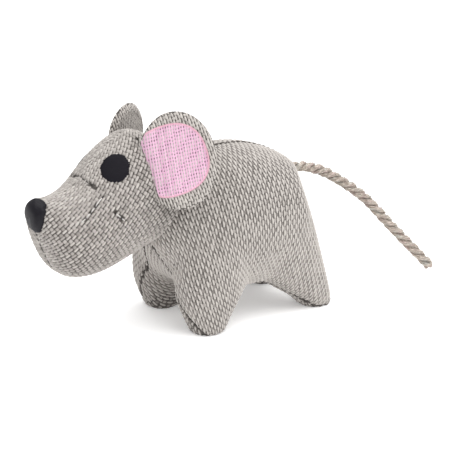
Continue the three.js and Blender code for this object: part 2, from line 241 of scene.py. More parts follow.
def alongPath(route, count, finer=40):
    # a smooth line through the route's points, with count points at equal steps of length
    route = np.asarray(route, float)
    chord = lengthAlong(route)
    fine = np.linspace(0, chord[-1], finer * count)
    line = np.stack([valuesAt(chord, route[:, axis], fine) for axis in range(3)], 1)
    even = np.linspace(0, lengthAlong(line)[-1], count)
    return readAt(line, even), even


def pathAxes(path, upwards=(0, 0, 1)):
    # the direction of a path at each point, and two axes across it, sideways and up
    ahead = unit(np.gradient(path, axis=0))
    side = unit(np.cross(ahead, np.asarray(upwards, float)))
    return ahead, side, np.cross(side, ahead)


def onCover(points, cover):
    # the nearest point on a cover to each given point, and the cover's normal there
    found = []
    for lift in (0, mm):
        probe = addPiece("probe", points, ())
        wrap = probe.modifiers.new("lie on the cover", "SHRINKWRAP")
        wrap.target = cover
        wrap.wrap_method = "NEAREST_SURFACEPOINT"
        wrap.wrap_mode = "OUTSIDE_SURFACE" if lift else "ON_SURFACE"
        wrap.offset = lift
        settle(probe)
        found.append(pointsOf(probe))
        bpy.data.objects.remove(probe)
    return found[0], unit(found[1] - found[0])


def addNode(tree, kind, inputs=(), **settings):
    # a shader node whose inputs are linked to sockets or set to values
    made = tree.nodes.new("ShaderNode" + kind)
    for name, value in settings.items():
        setattr(made, name, value)
    for name, value in dict(inputs).items():
        if isinstance(value, bpy.types.NodeSocket):
            tree.links.new(value, made.inputs[name])
        else:
            made.inputs[name].default_value = value
    return made


def addFinish(name, sockets):
    # a new material with its shader's fixed values set on the shader itself
    material = bpy.data.materials.new(name)
    material.use_nodes = True
    shader = material.node_tree.nodes["Principled BSDF"]
    for socket, value in sockets.items():
        shader.inputs[socket].default_value = value
    return material, material.node_tree, shader


def weigh(tree, value, weight, plus=0.0):
    # value times weight, plus a number or another value
    return addNode(tree, "Math", {0: value, 1: weight, 2: plus}, operation="MULTIPLY_ADD").outputs[0]


def rampNode(tree, factor, stops):
    # colours placed along a factor from 0 to 1
    made = addNode(tree, "ValToRGB", {0: factor})
    elements = made.color_ramp.elements
    while len(elements) < len(stops):
        elements.new(0.5)
    for element, (place, colour) in zip(elements, stops):
        element.position = place
        element.color = (*colour, 1)
    return made.outputs[0]


def mixColours(tree, factor, first, second, blend="MIX"):
    # from the first colour to the second by the factor. 0, 6 and 7 are the colour sockets of a mix node
    made = addNode(tree, "Mix", data_type="RGBA", blend_type=blend)
    for index, value in ((0, factor), (6, first), (7, second)):
        if isinstance(value, bpy.types.NodeSocket):
            tree.links.new(value, made.inputs[index])
        else:
            made.inputs[index].default_value = value if index == 0 else (*value, 1)
    return made.outputs[2]


def attributeNode(tree, name):
    # the number that setAttribute gave each point
    return addNode(tree, "Attribute", attribute_name=name).outputs["Fac"]


def noiseNode(tree, vector, scale, detail=2.0, roughness=0.5):
    # cloudy noise from 0 to 1, with scale clouds to the metre
    made = addNode(tree, "TexNoise", {"Vector": vector, "Scale": scale, "Detail": detail, "Roughness": roughness})
    return made.outputs["Fac"]


def bumpNode(tree, shader, height, distance, strength):
    # tilts the shading as a relief of the given height would
    made = addNode(tree, "Bump", {"Height": height, "Distance": distance, "Strength": strength})
    tree.links.new(made.outputs[0], shader.inputs["Normal"])


def objectPlace(tree):
    # the place in the shared frame, as every piece sits at the origin
    return addNode(tree, "TexCoord").outputs["Object"]


def fibreNode(tree, uvName, across, along, detail=3.0, roughness=0.5):
    # noise drawn out along a thread: across and along say how many clouds to the metre of its UV map
    place = addNode(tree, "UVMap", uv_map=uvName).outputs[0]
    stretched = addNode(tree, "Mapping", {"Vector": place, "Scale": (across, along, 1)}).outputs[0]
    return noiseNode(tree, stretched, 1.0, detail, roughness)


def paint(tree, shader, colour):
    # the colour of a finish
    tree.links.new(colour, shader.inputs["Base Color"])


# the rope of the tail: three strands laid round each other along the route of the CAD rope
tailRope = {
    "diameter": 6 * mm,
    # millimetres from the pivot of the swing, from the knot inside the rump to the cut end
    "route": [
        (-14, 0, 0.4), (0, 0, 0), (7.3, -0.3, -2), (13.3, -1, -4.4), (24.4, -4, -11.5),
        (37.8, -9, -23), (50.8, -15, -39.2), (60.8, -20, -51.6), (70.3, -26, -63.8),
    ],
    "lay": 17 * mm,
    "strands": 3,
    "strandShare": 0.238,
    "yarnRidges": 6,
    "yarnLay": 8 * mm,
    "ridgeDepth": 0.12,
    "unevenDepth": 0.045,
    "unevenness": [(13.7 * mm, 0.31), (7.9 * mm, 0.57), (4.3 * mm, 0.83)],
    "step": 0.55 * mm,
    "sides": 18,
    "jointFromPivot": 5 * mm,
    "bend": 5 * mm,
    "liftBend": 8 * mm,
    "fibres": 900,
    "fibreLength": (1.5 * mm, 4.5 * mm),
    "fibreRadius": 0.06 * mm,
    "fibrePoints": 6,
    "fibreSides": 3,
    # how deep a fibre starts, how far it rises and strays for its length, and how much thinner its end is
    "fibreSunk": 0.4 * mm,
    "fibreRise": 0.35,
    "fibreStray": 0.5,
    "fibreTaper": 0.7,
    "fibreCrown": 0.8,
    # the crown that the material reads as painted shade, darker down in the hollows between strands and between yarns:
    # a level, then shares of the strand's and of the yarn's roundness
    "crown": (0.35, 0.4, 0.25),
    "strandShift": 10 * mm,
}
ropeShades = {
    "yarn": [
        (0.0, (0.078, 0.061, 0.052)), (0.3, (0.23, 0.195, 0.173)),
        (0.55, (0.37, 0.33, 0.303)), (0.9, (0.61, 0.565, 0.535)),
    ],
    "blush": [(0.32, (0.90, 0.97, 0.95)), (0.5, (1.0, 0.96, 0.88)), (0.68, (1.0, 0.86, 0.86))],
}


def ropeFinish(shades):
    # crown, streaks and flecks add up to a place on the yarn's shades, and wide patches tint it warmer or cooler. The
    # crown paints shade into the hollows between the strands and yarns
    material, tree, shader = addFinish("laid cotton rope", {"Roughness": 0.95, "Sheen Weight": 0.15})
    streaks = fibreNode(tree, "yarn", 9000, 260)
    patches = fibreNode(tree, "yarn", 420, 220, 2.0)
    flecks = fibreNode(tree, "yarn", 1500, 650, 3.0, 0.7)
    lit = weigh(tree, attributeNode(tree, "crown"), 0.25, weigh(tree, streaks, 0.4, -1.1))
    base = rampNode(tree, weigh(tree, flecks, 2.6, lit), shades["yarn"])
    paint(tree, shader, mixColours(tree, 1.0, base, rampNode(tree, patches, shades["blush"]), "MULTIPLY"))
    bumpNode(tree, shader, streaks, 0.12 * mm, 0.7)
    return material


def ropeStrands(name, path, along, rope, first, last):
    # each strand is a round tube whose centre turns round the path once per lay, with yarn ridges that turn
    # the other way round it, as rope is laid. Waves of odd lengths make it thicker here and thinner there
    ahead, side, up = (axis[first:last, None, None] for axis in pathAxes(path))
    centre, place = path[first:last, None, None], along[first:last, None, None, None]
    strand = (2 * math.pi * np.arange(rope["strands"]) / rope["strands"])[None, :, None, None]
    around = fullTurn(rope["sides"])[None, None, :, None]
    strandRadius = rope["diameter"] * rope["strandShare"]
    offset = rope["diameter"] / 2 - strandRadius
    turn = strand + 2 * math.pi * place / rope["lay"]
    outwards = np.cos(turn) * side + np.sin(turn) * up
    sideways = -np.sin(turn) * side + np.cos(turn) * up
    tilt = 2 * math.pi * offset / rope["lay"]
    across = unit(sideways - tilt * ahead)
    ridge = np.cos(rope["yarnRidges"] * around - 2 * math.pi * place / rope["yarnLay"])
    uneven = sum(np.sin(2 * math.pi * (place / length + strand * turns)) for length, turns in rope["unevenness"])
    radius = strandRadius * (1 + rope["ridgeDepth"] * (ridge - 1) + rope["unevenDepth"] * uneven)
    points = centre + outwards * offset + radius * (np.cos(around) * outwards + np.sin(around) * across)
    rows = last - first
    points = np.moveaxis(points, 1, 0).reshape(rope["strands"], rows, rope["sides"], 3)
    # both ends of a strand close on its own middle
    middles = points.mean(2, keepdims=True) * np.ones((1, 1, rope["sides"], 1))
    points = np.concatenate([middles[:, :1], points, middles[:, -1:]], 1)
    piece = addPiece(name, points, gridQuads(rows + 2, rope["sides"], True, rope["strands"]))
    level, strandPart, yarnPart = rope["crown"]
    # the crown is lowest on each strand's inner side and in the grooves between yarns: painted shade there
    crown = level + strandPart * np.cos(around) + yarnPart * ridge
    values = np.broadcast_arrays(crown, around * strandRadius + strand * rope["strandShift"], place)
    values = np.moveaxis(np.concatenate(values, -1), 1, 0)
    values = np.pad(values, ((0, 0), (1, 1), (0, 0), (0, 0)), mode="edge").reshape(-1, 3)
    setAttribute(piece, "crown", values[:, 0])
    setUv(piece, "yarn", values[:, 1:])
    closePoles(piece)
    return piece


def tubes(lines, radii, sides):
    # one thin tube along each line: a ring of the given radius across it at each point. lines is (count, points, 3)
    ahead = unit(np.gradient(lines, axis=1))
    other = np.where(np.abs(ahead[..., 2:]) > 0.9, np.array([1.0, 0, 0]), np.array([0, 0, 1.0]))
    side = unit(np.cross(ahead, other))
    up = np.cross(side, ahead)
    around = fullTurn(sides)[None, None, :, None]
    ring = np.cos(around) * side[:, :, None] + np.sin(around) * up[:, :, None]
    return lines[:, :, None] + np.asarray(radii)[..., None, None] * ring


def ropeFibres(path, rope):
    # loose hairs that leave the rope's surface at a low angle: a share of the length outwards and the rest along it
    count, points = rope["fibres"], rope["fibrePoints"]
    place = rng.integers(2, len(path) - 2, count)
    turn = rng.uniform(0, 2 * math.pi, count)[:, None]
    ahead, side, up = (axis[place] for axis in pathAxes(path))
    outwards = np.cos(turn) * side + np.sin(turn) * up
    lean = ahead * rng.uniform(-1, 1, (count, 1))
    lean = unit(lean + rope["fibreStray"] * np.cross(ahead, outwards) * rng.uniform(-1, 1, (count, 1)))
    length = rng.uniform(*rope["fibreLength"], count)[:, None, None]
    share = np.linspace(0, 1, points)[None, :, None]
    start = path[place] + outwards * (rope["diameter"] / 2 - rope["fibreSunk"])
    lines = start[:, None] + length * share * (rope["fibreRise"] * outwards[:, None] + lean[:, None])
    radii = rope["fibreRadius"] * np.broadcast_to(1 - rope["fibreTaper"] * share[..., 0], (count, points))
    skin = tubes(lines, radii, rope["fibreSides"])
    piece = addPiece("tail_fibres", skin, gridQuads(points, rope["fibreSides"], True, count))
    setAttribute(piece, "crown", np.full(skin.size // 3, rope["fibreCrown"]))
    setUv(piece, "yarn", pointsOf(piece)[:, :2])
    return piece


tailPivot = np.array(joints["tail_swing"]["pos_m"])
tailRoute = tailPivot + np.array(tailRope["route"]) * mm
tailCount = int(lengthAlong(tailRoute)[-1] / tailRope["step"])
tailPath, tailAlong = alongPath(tailRoute, tailCount)
tailJoint = int(np.argmin(np.abs(tailPath[:, 0] - tailPivot[0] - tailRope["jointFromPivot"])))
tailRoot = ropeStrands("tail_root", tailPath, tailAlong, tailRope, 0, tailJoint + 1)
tailFree = ropeStrands("tail_free_length", tailPath, tailAlong, tailRope, tailJoint, tailCount)
tailFuzz = ropeFibres(tailPath[tailJoint:], tailRope)
cottonRope = ropeFinish(ropeShades)
for part in (tailRoot, tailFree, tailFuzz):
    dress(part, cottonRope)
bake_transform(tailRoot)
for part in (tailFree, tailFuzz):
    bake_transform(part)
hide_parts("tail_root_knot")
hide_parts("tail_base", "tail_rope")

# the cover of the body and legs: one stuffed skin of canvas, cut as two side panels and a belly panel
bodyForm = {
    "front": -14 * mm,
    "length": 98 * mm,
    "bottom": 17.5 * mm,
    "height": 74 * mm,
    "width": 69 * mm,
    # share of the length, then lowest and highest share of the height, then share of the width
    "stations": [
        (0, 0.40, 0.688, 0.40), (0.093, 0.20, 0.844, 0.68), (0.247, 0.04, 0.958, 0.88), (0.454, 0, 1, 0.986),
        (0.66, 0, 0.965, 1), (0.845, 0.01, 0.858, 0.96), (0.948, 0.05, 0.745, 0.88), (1, 0.14, 0.62, 0.66),
    ],
    "squareness": 2.1,
    "bellySquareness": 4.2,
    # both side panels run flat to the seam of the rump: the direction of that flat and its distance
    "rumpFlat": (0.830, 0.4926, 0.26),
    "rumpReach": 86.6 * mm,
}
legForm = {
    "spacing": 45 * mm,
    "height": 58 * mm,
    "width": 25 * mm,
    "below": 3 * mm,
    "squareness": 2.5,
    "front": {
        "foot": {-1: 7.5 * mm, 1: 11.5 * mm},
        "length": 41 * mm,
        # share of the height, then how far the middle lies behind the foot, then the sizes along and across
        "stations": [
            (0, 0, 0.25, 0.5), (0.043, 0, 0.40, 0.708), (0.172, 0.012, 0.58, 0.875), (0.31, 0.049, 0.83, 0.958),
            (0.466, 0.098, 1, 1), (0.69, 0.134, 1, 0.958), (1, 0.317, 0.634, 0.5),
        ],
    },
    "rear": {
        "foot": {-1: 81 * mm, 1: 80 * mm},
        "length": 46 * mm,
        "stations": [
            (0, 0, 0.239, 0.5), (0.043, -0.02, 0.34, 0.708), (0.172, -0.10, 0.54, 0.875), (0.31, -0.24, 0.80, 0.958),
            (0.466, -0.38, 1, 1), (0.69, -0.42, 0.93, 0.958), (1, -0.5, 0.565, 0.5),
        ],
    },
}
coverMake = {
    "rings": 72,
    "around": 96,
    "voxel": 2.2 * mm,
    "smoothing": 14,
    "pressure": 4.0,
    "frames": 20,
    "mostSwelling": 2.2 * mm,
    "seamDepth": 0.9 * mm,
    "seamReach": 2.2 * mm,
}
bellyPanel = {"halfWidth": 31 * mm, "endsAt": 52 * mm, "narrowest": 2 * mm, "snap": 0.5 * mm}


def stationRows(stations, count):
    # the station table read at count even steps
    table = np.array(stations)
    at = np.linspace(table[0, 0], table[-1, 0], count)
    return at, *(valuesAt(table[:, 0], table[:, column], at) for column in range(1, table.shape[1]))


def closedRings(name, rings):
    # rings of points joined into a skin, with both ends drawn to the ring's middle
    ends = [rings[index].mean(0, keepdims=True) * np.ones((rings.shape[1], 1)) for index in (0, -1)]
    rings = np.concatenate([ends[0][None], rings, ends[1][None]])
    piece = addPiece(name, rings, gridQuads(rings.shape[0], rings.shape[1], True))
    closePoles(piece)
    return piece


def lyingForm(name, form, make):
    # a loft along x: each ring is a superellipse between the lowest and highest share, squarer in its lower half
    at, low, high, wide = stationRows(form["stations"], make["rings"])
    turn = fullTurn(make["around"])[None]
    squareness = np.where(np.sin(turn) < 0, form.get("bellySquareness", form["squareness"]), form["squareness"])
    middle = form["bottom"] + form["height"] * (low + high)[:, None] / 2
    y = form["width"] / 2 * wide[:, None] * softPower(np.cos(turn), squareness)
    z = middle + form["height"] * (high - low)[:, None] / 2 * softPower(np.sin(turn), squareness)
    x = (form["front"] + form["length"] * at)[:, None] * np.ones_like(turn)
    return closedRings(name, np.stack([x, y, z], -1))


def legShell(name, form, leg, side, make):
    # a loft along z, from a little below the floor, so that the smoothed sole can be pressed flat on it
    at, middle, along, across = stationRows(leg["stations"], make["rings"])
    turn = fullTurn(make["around"])[None]
    height = form["height"] + form["below"]
    z = (-form["below"] + height * at)[:, None] * np.ones_like(turn)
    ahead, aside = (softPower(wave(turn), form["squareness"]) / 2 for wave in (np.cos, np.sin))
    x = leg["foot"][side] + leg["length"] * (middle[:, None] + along[:, None] * ahead)
    y = side * form["spacing"] / 2 + form["width"] * across[:, None] * aside
    return closedRings(name, np.stack([x, y, z], -1))


def flattenRump(piece, form):
    # points past the flat of the rump, on either side of the middle plane, move back onto it
    points = pointsOf(piece)
    flat = np.tile(form["rumpFlat"], (len(points), 1))
    flat[:, 1] *= np.where(points[:, 1] < 0, -1, 1)
    past = np.maximum((points * flat).sum(1, keepdims=True) - form["rumpReach"], 0)
    setPoints(piece, points - past * flat)
    return piece


def joinPieces(name, parts):
    # several meshes side by side in one
    shape = bmesh.new()
    for part in parts:
        shape.from_mesh(part.data)
        bpy.data.objects.remove(part)
    mesh = bpy.data.meshes.new(name)
    shape.to_mesh(mesh)
    shape.free()
    return linkNew(name, mesh)


def stuffedCover(name, shells, make):
    # overlapping shells become one skin, which is smoothed and then swollen by the pressure of the stuffing
    cover = joinPieces(name, shells)
    remesh = cover.modifiers.new("one skin", "REMESH")
    remesh.mode, remesh.voxel_size = "VOXEL", make["voxel"]
    smooth = cover.modifiers.new("rounded", "SMOOTH")
    smooth.iterations = make["smoothing"]
    settle(cover)
    swell(cover, make)
    return cover


def swell(cover, make):
    # cloth with pressure inside and no weight, each point's movement cut off at mostSwelling
    before = pointsOf(cover)
    cloth = cover.modifiers.new("pressure of the stuffing", "CLOTH")
    cloth.settings.use_pressure = True
    cloth.settings.uniform_pressure_force = make["pressure"]
    cloth.settings.effector_weights.gravity = 0
    cloth.point_cache.frame_start, cloth.point_cache.frame_end = 1, make["frames"]
    for step in range(1, make["frames"] + 1):
        scene.frame_set(step)
    settle(cover)
    scene.frame_set(1)
    moved = pointsOf(cover) - before
    far = np.linalg.norm(moved, axis=1, keepdims=True)
    setPoints(cover, before + moved * np.minimum(1, make["mostSwelling"] / np.maximum(far, 1e-9)))


def refine(cover):
    # each face divided in four, rounded as Catmull and Clark do
    fine = cover.modifiers.new("finer", "SUBSURF")
    fine.levels = fine.render_levels = 1
    settle(cover)


def faceMiddles(piece):
    # the middle of each face
    return readAll(piece.data.polygons, "center", 3)


def aboveFloor(points):
    # points under the floor are pressed up onto it
    return np.maximum(points, (-np.inf, -np.inf, 0))


def seamHalfWidth(points):
    # half the belly panel's width at a height: widest at the floor, narrowing evenly to nothing
    return np.maximum(bellyPanel["halfWidth"] * (1 - points[:, 2] / bellyPanel["endsAt"]), 0)


def fromSpine(points, elsewhere=1):
    # the distance in y from the middle seam, or a long way where the belly panel lies there instead
    return np.where(seamHalfWidth(points) > 0, elsewhere, points[:, 1])


def fromHem(points, elsewhere=1):
    # the distance in y from the belly panel's edge on the same side, or a long way where the panel is too narrow
    half = seamHalfWidth(points)
    beyond = np.sign(points[:, 1]) * (np.abs(points[:, 1]) - half)
    return np.where(half > bellyPanel["narrowest"], beyond, elsewhere)


def snapToSeam(cover, edgeOffset, reach):
    # points close to a seam line move onto it. edgeOffset gives each point's signed distance in y from the line
    points = pointsOf(cover)
    offset = edgeOffset(points)
    points[:, 1] -= np.where(np.abs(offset) < reach, offset, 0)
    setPoints(cover, points)


def bodyPanels(points):
    # 0 for the left side, 1 for the right side, 2 for the belly
    inside = np.abs(points[:, 1]) < seamHalfWidth(points)
    return np.where(inside, 2, np.where(points[:, 1] < 0, 0, 1))


def trianglePattern(piece):
    # for each triangle its three points, their places on the flat pattern, and the face it belongs to
    mesh = piece.data
    mesh.calc_loop_triangles()
    points, loops, face = (
        readAll(mesh.loop_triangles, name, width, np.int32)
        for name, width in (("vertices", 3), ("loops", 3), ("polygon_index", 1))
    )
    uv = readAll(mesh.uv_layers["pattern"].data, "uv", 2, np.float32)
    return points, uv[loops].astype(float), face


def cutSeams(piece, panel):
    # an edge between faces of two panels is a seam. Returns the points on seams
    mesh = piece.data
    loopEdge = readAll(mesh.loops, "edge_index", 1, np.int32)
    ofLoop = np.repeat(panel, readAll(mesh.polygons, "loop_total", 1, np.int32))
    lowest, highest = np.full(len(mesh.edges), panel.max() + 1), np.full(len(mesh.edges), -1)
    np.minimum.at(lowest, loopEdge, ofLoop)
    np.maximum.at(highest, loopEdge, ofLoop)
    seam = lowest != highest
    mesh.edges.foreach_set("use_seam", seam)
    return np.unique(readAll(mesh.edges, "vertices", 2, np.int32)[seam])


def flatten(piece):
    # lays the panels flat between their seams, as a cutting pattern
    bpy.ops.object.select_all(action="DESELECT")
    piece.select_set(True)
    bpy.context.view_layer.objects.active = piece
    piece.data.uv_layers.new(name="pattern")
    bpy.ops.object.mode_set(mode="EDIT")
    bpy.ops.mesh.select_all(action="SELECT")
    bpy.ops.uv.unwrap(method="ANGLE_BASED", margin=0.01)
    bpy.ops.object.mode_set(mode="OBJECT")


def nearestDistance(points, others, atOnce=4_000_000):
    # distance from each point to the nearest of the others, in blocks of so many pairs at once
    blocks = np.array_split(points, max(1, len(points) * len(others) // atOnce))
    square = [((block[:, None] - others[None]) ** 2).sum(-1).min(1) for block in blocks]
    return np.sqrt(np.concatenate(square))


bodyCover = stuffedCover(
    "body_cover",
    [flattenRump(lyingForm("torso", bodyForm, coverMake), bodyForm)]
    + [
        flattenRump(legShell("leg", legForm, legForm[end], side, coverMake), bodyForm)
        for end in ("front", "rear")
        for side in (-1, 1)
    ],
    coverMake,
)
refine(bodyCover)
setPoints(bodyCover, aboveFloor(pointsOf(bodyCover)))
snapToSeam(bodyCover, fromSpine, bellyPanel["snap"])
snapToSeam(bodyCover, fromHem, bellyPanel["snap"])
bodyPanel = bodyPanels(faceMiddles(bodyCover))
bodySeam = cutSeams(bodyCover, bodyPanel)
flatten(bodyCover)
print("body cover made,", len(bodyCover.data.polygons), "faces,", len(bodySeam), "points on seams")


def pressSeam(cover, places, make):
    # the cover dips towards a seam by a round groove: the depth times (1 - distance / reach) squared, but not
    # under the floor
    points = pointsOf(cover)
    near = 1 - np.clip(nearestDistance(points, places) / make["seamReach"], 0, 1)
    pressed = points - normalsOf(cover) * (make["seamDepth"] * near**2)[:, None]
    setPoints(cover, aboveFloor(pressed))


def seamOrder(places, x, z):
    # the places of a seam, in the order of their angle about a place in the side view
    return places[np.argsort(np.arctan2(places[:, 2] - z, places[:, 0] - x))]


def evenPath(places, step, rounds=6):
    # a ragged row of points, drawn smooth and read at even steps. In each round a point becomes a quarter of either
    # neighbour and half of itself
    for _ in range(rounds):
        places = np.concatenate([places[:1], (places[:-2] + 2 * places[1:-1] + places[2:]) / 4, places[-1:]])
    return readAt(places, np.arange(0, lengthAlong(places)[-1], step))


bodySeamPlaces = pointsOf(bodyCover)[bodySeam]
pressSeam(bodyCover, bodySeamPlaces, coverMake)

# the weave: a plain canvas. Warp yarns come up in a brick pattern, and weft yarns cross between them
bodyWeave = {
    "columnPitch": 1.5 * mm,
    "rowPitch": 4.9 * mm,
    # width and length of a float, its height, how far its edge is sunk into the cloth, and its tone
    "warp": (1.3 * mm, 4.3 * mm, 0.80 * mm, 0.22 * mm, 1.1),
    "weft": (2.3 * mm, 2.1 * mm, 0.50 * mm, 0.2 * mm, 0.5),
    "weftShift": 0.2 * mm,
    "turnJitter": 3.0,
    "sizeJitter": 0.05,
    "tintJitter": 0.2,
    # how much lower and narrower a float is at its ends
    "endFall": 0.9,
    "endTaper": 0.25,
    "freeOfSeam": 0.6 * mm,
    "grain": [(0, 0, -1), (0, 0, -1), (1, 0, 0)],
}
floatRows = np.linspace(-1, 1, 6)[:, None]
floatColumns = np.array([-1, -0.62, 0, 0.62, 1])[None]
floatGrid = (floatRows.size, floatColumns.size)


def patternAxes(place, uv):
    # two edges of each triangle, the directions in space along its pattern's two axes, and twice its pattern's area
    edges, flat = place[:, 1:] - place[:, :1], uv[:, 1:] - uv[:, :1]
    whole = np.cross(flat[:, 0], flat[:, 1])
    alongU = (edges[:, 0] * flat[:, 1, 1:] - edges[:, 1] * flat[:, 0, 1:]) / whole[:, None]
    alongV = (edges[:, 1] * flat[:, 0, :1] - edges[:, 0] * flat[:, 1, :1]) / whole[:, None]
    return edges, alongU, alongV, whole


def patternOf(piece, panel, grain):
    # the flat pattern of each triangle in metres, turned so that its second direction runs along the grain
    points, uv, face = trianglePattern(piece)
    edges, alongU, alongV, flatArea = patternAxes(pointsOf(piece)[points], uv)
    area = np.linalg.norm(np.cross(edges[:, 0], edges[:, 1]), axis=1)
    found = []
    for number, direction in enumerate(grain):
        chosen = panel[face] == number
        size = math.sqrt(area[chosen].sum() / np.abs(flatArea[chosen]).sum())
        weight = area[chosen]
        heading = np.array([(axis[chosen] @ np.array(direction) * weight).sum() for axis in (alongU, alongV)])
        cosine, sine = heading[::-1] / np.linalg.norm(heading)
        turned = uv[chosen] @ np.array([[cosine, sine], [-sine, cosine]])
        found.append((points[chosen], turned * size))
    return found


def brickPlaces(uv, weave, lower, shear):
    # the places of a brick pattern that lie in each triangle: every other column is half a row lower, and where the
    # cloth is pulled askew each column is a little lower than the last
    pitch = np.array([weave["columnPitch"], weave["rowPitch"]])
    columnFirst = np.ceil(uv[..., 0].min(1) / pitch[0]).astype(int)
    kept = []
    for columnStep in range(2):
        column = columnFirst + columnStep
        shift = 0.5 * (column % 2) + lower + shear * column * pitch[0] / pitch[1]
        rowFirst = np.ceil(uv[..., 1].min(1) / pitch[1] - shift).astype(int)
        for rowStep in range(2):
            row = rowFirst + rowStep
            spot = np.stack([column, row + shift], -1) * pitch
            first, second, toSpot = uv[:, 1] - uv[:, 0], uv[:, 2] - uv[:, 0], spot - uv[:, 0]
            whole = np.cross(first, second)
            shareTwo, shareThree = np.cross(toSpot, second) / whole, np.cross(first, toSpot) / whole
            shares = np.stack([1 - shareTwo - shareThree, shareTwo, shareThree], -1)
            inside = (shares > -1e-6).all(1)
            kept.append((np.nonzero(inside)[0], shares[inside], np.stack([column, row], -1)[inside]))
    triangle, shares, cell = (np.concatenate(parts) for parts in zip(*kept))
    _, single = np.unique(cell, axis=0, return_index=True)
    return triangle[single], shares[single]


def floatSet(cover, points, uv, weave, kind, seam, shear):
    # a float is a grid over its width and length. Across it stands half a circle, which falls with the cube of the
    # place along it, less the depth that its edge is sunk. A weft float runs across the grain, half a row lower
    wide, long, crown, sink, tone = weave[kind]
    triangle, shares = brickPlaces(uv, weave, 0 if kind == "warp" else 0.5, shear)
    place, normal = pointsOf(cover), normalsOf(cover)
    middle = (place[points[triangle]] * shares[..., None]).sum(1)
    if len(seam):
        free = nearestDistance(middle, seam) > weave["freeOfSeam"]
        triangle, shares, middle = triangle[free], shares[free], middle[free]
    corner = points[triangle]
    outwards = unit((normal[corner] * shares[..., None]).sum(1))
    along = patternAxes(place[corner], uv[triangle])[2]
    along = unit(along - outwards * (along * outwards).sum(1, keepdims=True))
    if kind == "weft":
        # pushed to one side, so that a dark gap opens on one side of each warp float only, where the painted shade of
        # the ground shows as a shaded side
        along = np.cross(along, outwards)
        middle = middle + weave["weftShift"] * along
    across = np.cross(along, outwards)
    count = len(middle)
    jitter = np.radians(rng.normal(0, weave["turnJitter"], (count, 1)))
    along, across = np.cos(jitter) * along + np.sin(jitter) * across, np.cos(jitter) * across - np.sin(jitter) * along
    size = 1 + rng.normal(0, weave["sizeJitter"], (count, 1, 1, 1))
    arch = np.sqrt(np.maximum(1 - floatColumns**2, 0)) * (1 - weave["endFall"] * np.abs(floatRows) ** 3)
    sideways = (floatColumns * (1 - weave["endTaper"] * floatRows**4) * wide / 2)[None, ..., None]
    lengthways = (floatRows * np.ones_like(floatColumns) * long / 2)[None, ..., None]
    spread = [axis[:, None, None] for axis in (middle, across, along)]
    shape = spread[0] + size * (spread[1] * sideways + spread[2] * lengthways)
    lying, upwards = onCover(shape.reshape(-1, 3), cover)
    shape = (lying + upwards * np.tile((arch * crown - sink).ravel(), count)[:, None]).reshape(shape.shape)
    local = np.concatenate([sideways, lengthways], -1) + rng.random((count, 1, 1, 2))
    tint = tone + rng.uniform(-weave["tintJitter"], weave["tintJitter"], (count, 1, 1))
    return shape, np.broadcast_to(arch, (count, *floatGrid)), np.broadcast_to(tint, (count, *floatGrid)), local


def yarnFloats(name, cover, points, uv, weave, seam=(), floor=None, shear=0):
    # all the floats of a panel as one piece, kept above the floor where there is one
    sets = [floatSet(cover, points, uv, weave, kind, seam, shear) for kind in ("warp", "weft")]
    shape, arch, tint, local = (np.concatenate(parts) for parts in zip(*sets))
    if floor is not None:
        shape[..., 2] = np.maximum(shape[..., 2], floor)
    piece = addPiece(name, shape, gridQuads(*floatGrid, False, len(shape)))
    # the crown is each float's arch, which yarnFinish turns into painted shade at the float's sides and ends
    setAttribute(piece, "crown", arch)
    setAttribute(piece, "tint", tint)
    setUv(piece, "yarn", local.reshape(-1, 2))
    dress(piece, canvasYarn)
    return piece


canvasShades = {
    # the gap shade is painted shadow, for the cloth down between the floats and the sunken sides and ends of the yarn
    "gap": (0.036, 0.031, 0.028),
    "edge": (0.14, 0.126, 0.115),
    "weft": (0.27, 0.248, 0.230),
    "warp": (0.475, 0.443, 0.415),
}


def yarnFinish(shades):
    # the yarn gets painted shade where it dives into the cloth: darker towards its sides and ends, down to the gap
    # shade, with fine fibres along it and a shade of its own
    material, tree, shader = addFinish("canvas yarn", {"Roughness": 0.92, "Sheen Weight": 0.1})
    fibres = fibreNode(tree, "yarn", 5200, 420)
    lit = weigh(tree, fibres, 0.6, weigh(tree, attributeNode(tree, "tint"), 0.9, -0.35))
    yarn = rampNode(tree, lit, [(0.15, shades["edge"]), (0.4, shades["weft"]), (0.9, shades["warp"])])
    paintedShadeStops = [(0.0, (1, 1, 1)), (0.25, (0.55, 0.55, 0.55)), (0.7, (0, 0, 0))]
    paintedShade = rampNode(tree, attributeNode(tree, "crown"), paintedShadeStops)
    paint(tree, shader, mixColours(tree, paintedShade, yarn, shades["gap"]))
    bumpNode(tree, shader, fibres, 0.1 * mm, 0.6)
    return material


def groundFinish(shades):
    # the cloth between the floats: the yarns underneath, seen as dark ribs in the gap shade, which is painted shade for
    # the cloth down between the floats
    material, tree, shader = addFinish("canvas ground", {"Roughness": 0.95})
    grain = noiseNode(tree, objectPlace(tree), 900, 4.0, 0.7)
    paint(tree, shader, rampNode(tree, grain, [(0.3, shades["gap"]), (0.75, shades["edge"])]))
    bumpNode(tree, shader, grain, 0.2 * mm, 0.8)
    return material


canvasYarn, canvasGround = yarnFinish(canvasShades), groundFinish(canvasShades)
dress(bodyCover, canvasGround)
bodyPattern = patternOf(bodyCover, bodyPanel, bodyWeave["grain"])
bodyBare = pointsOf(bodyCover)[bodySeam]
for panelName, (points, uv) in zip(("body_left_weave", "body_right_weave", "belly_weave"), bodyPattern):
    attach(yarnFloats(panelName, bodyCover, points, uv, bodyWeave, bodyBare, 0), "toy")
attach(bodyCover, "toy")
legNames = [f"{end}_{side}_leg" for end in ("front", "rear") for side in ("left", "right")]
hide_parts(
    "body_left_panel", "body_right_panel", "belly_panel", "body_stuffing_left", "body_stuffing_right",
    *(leg + "_cover" for leg in legNames), *(leg + "_stuffing" for leg in legNames),
)
print("body woven")

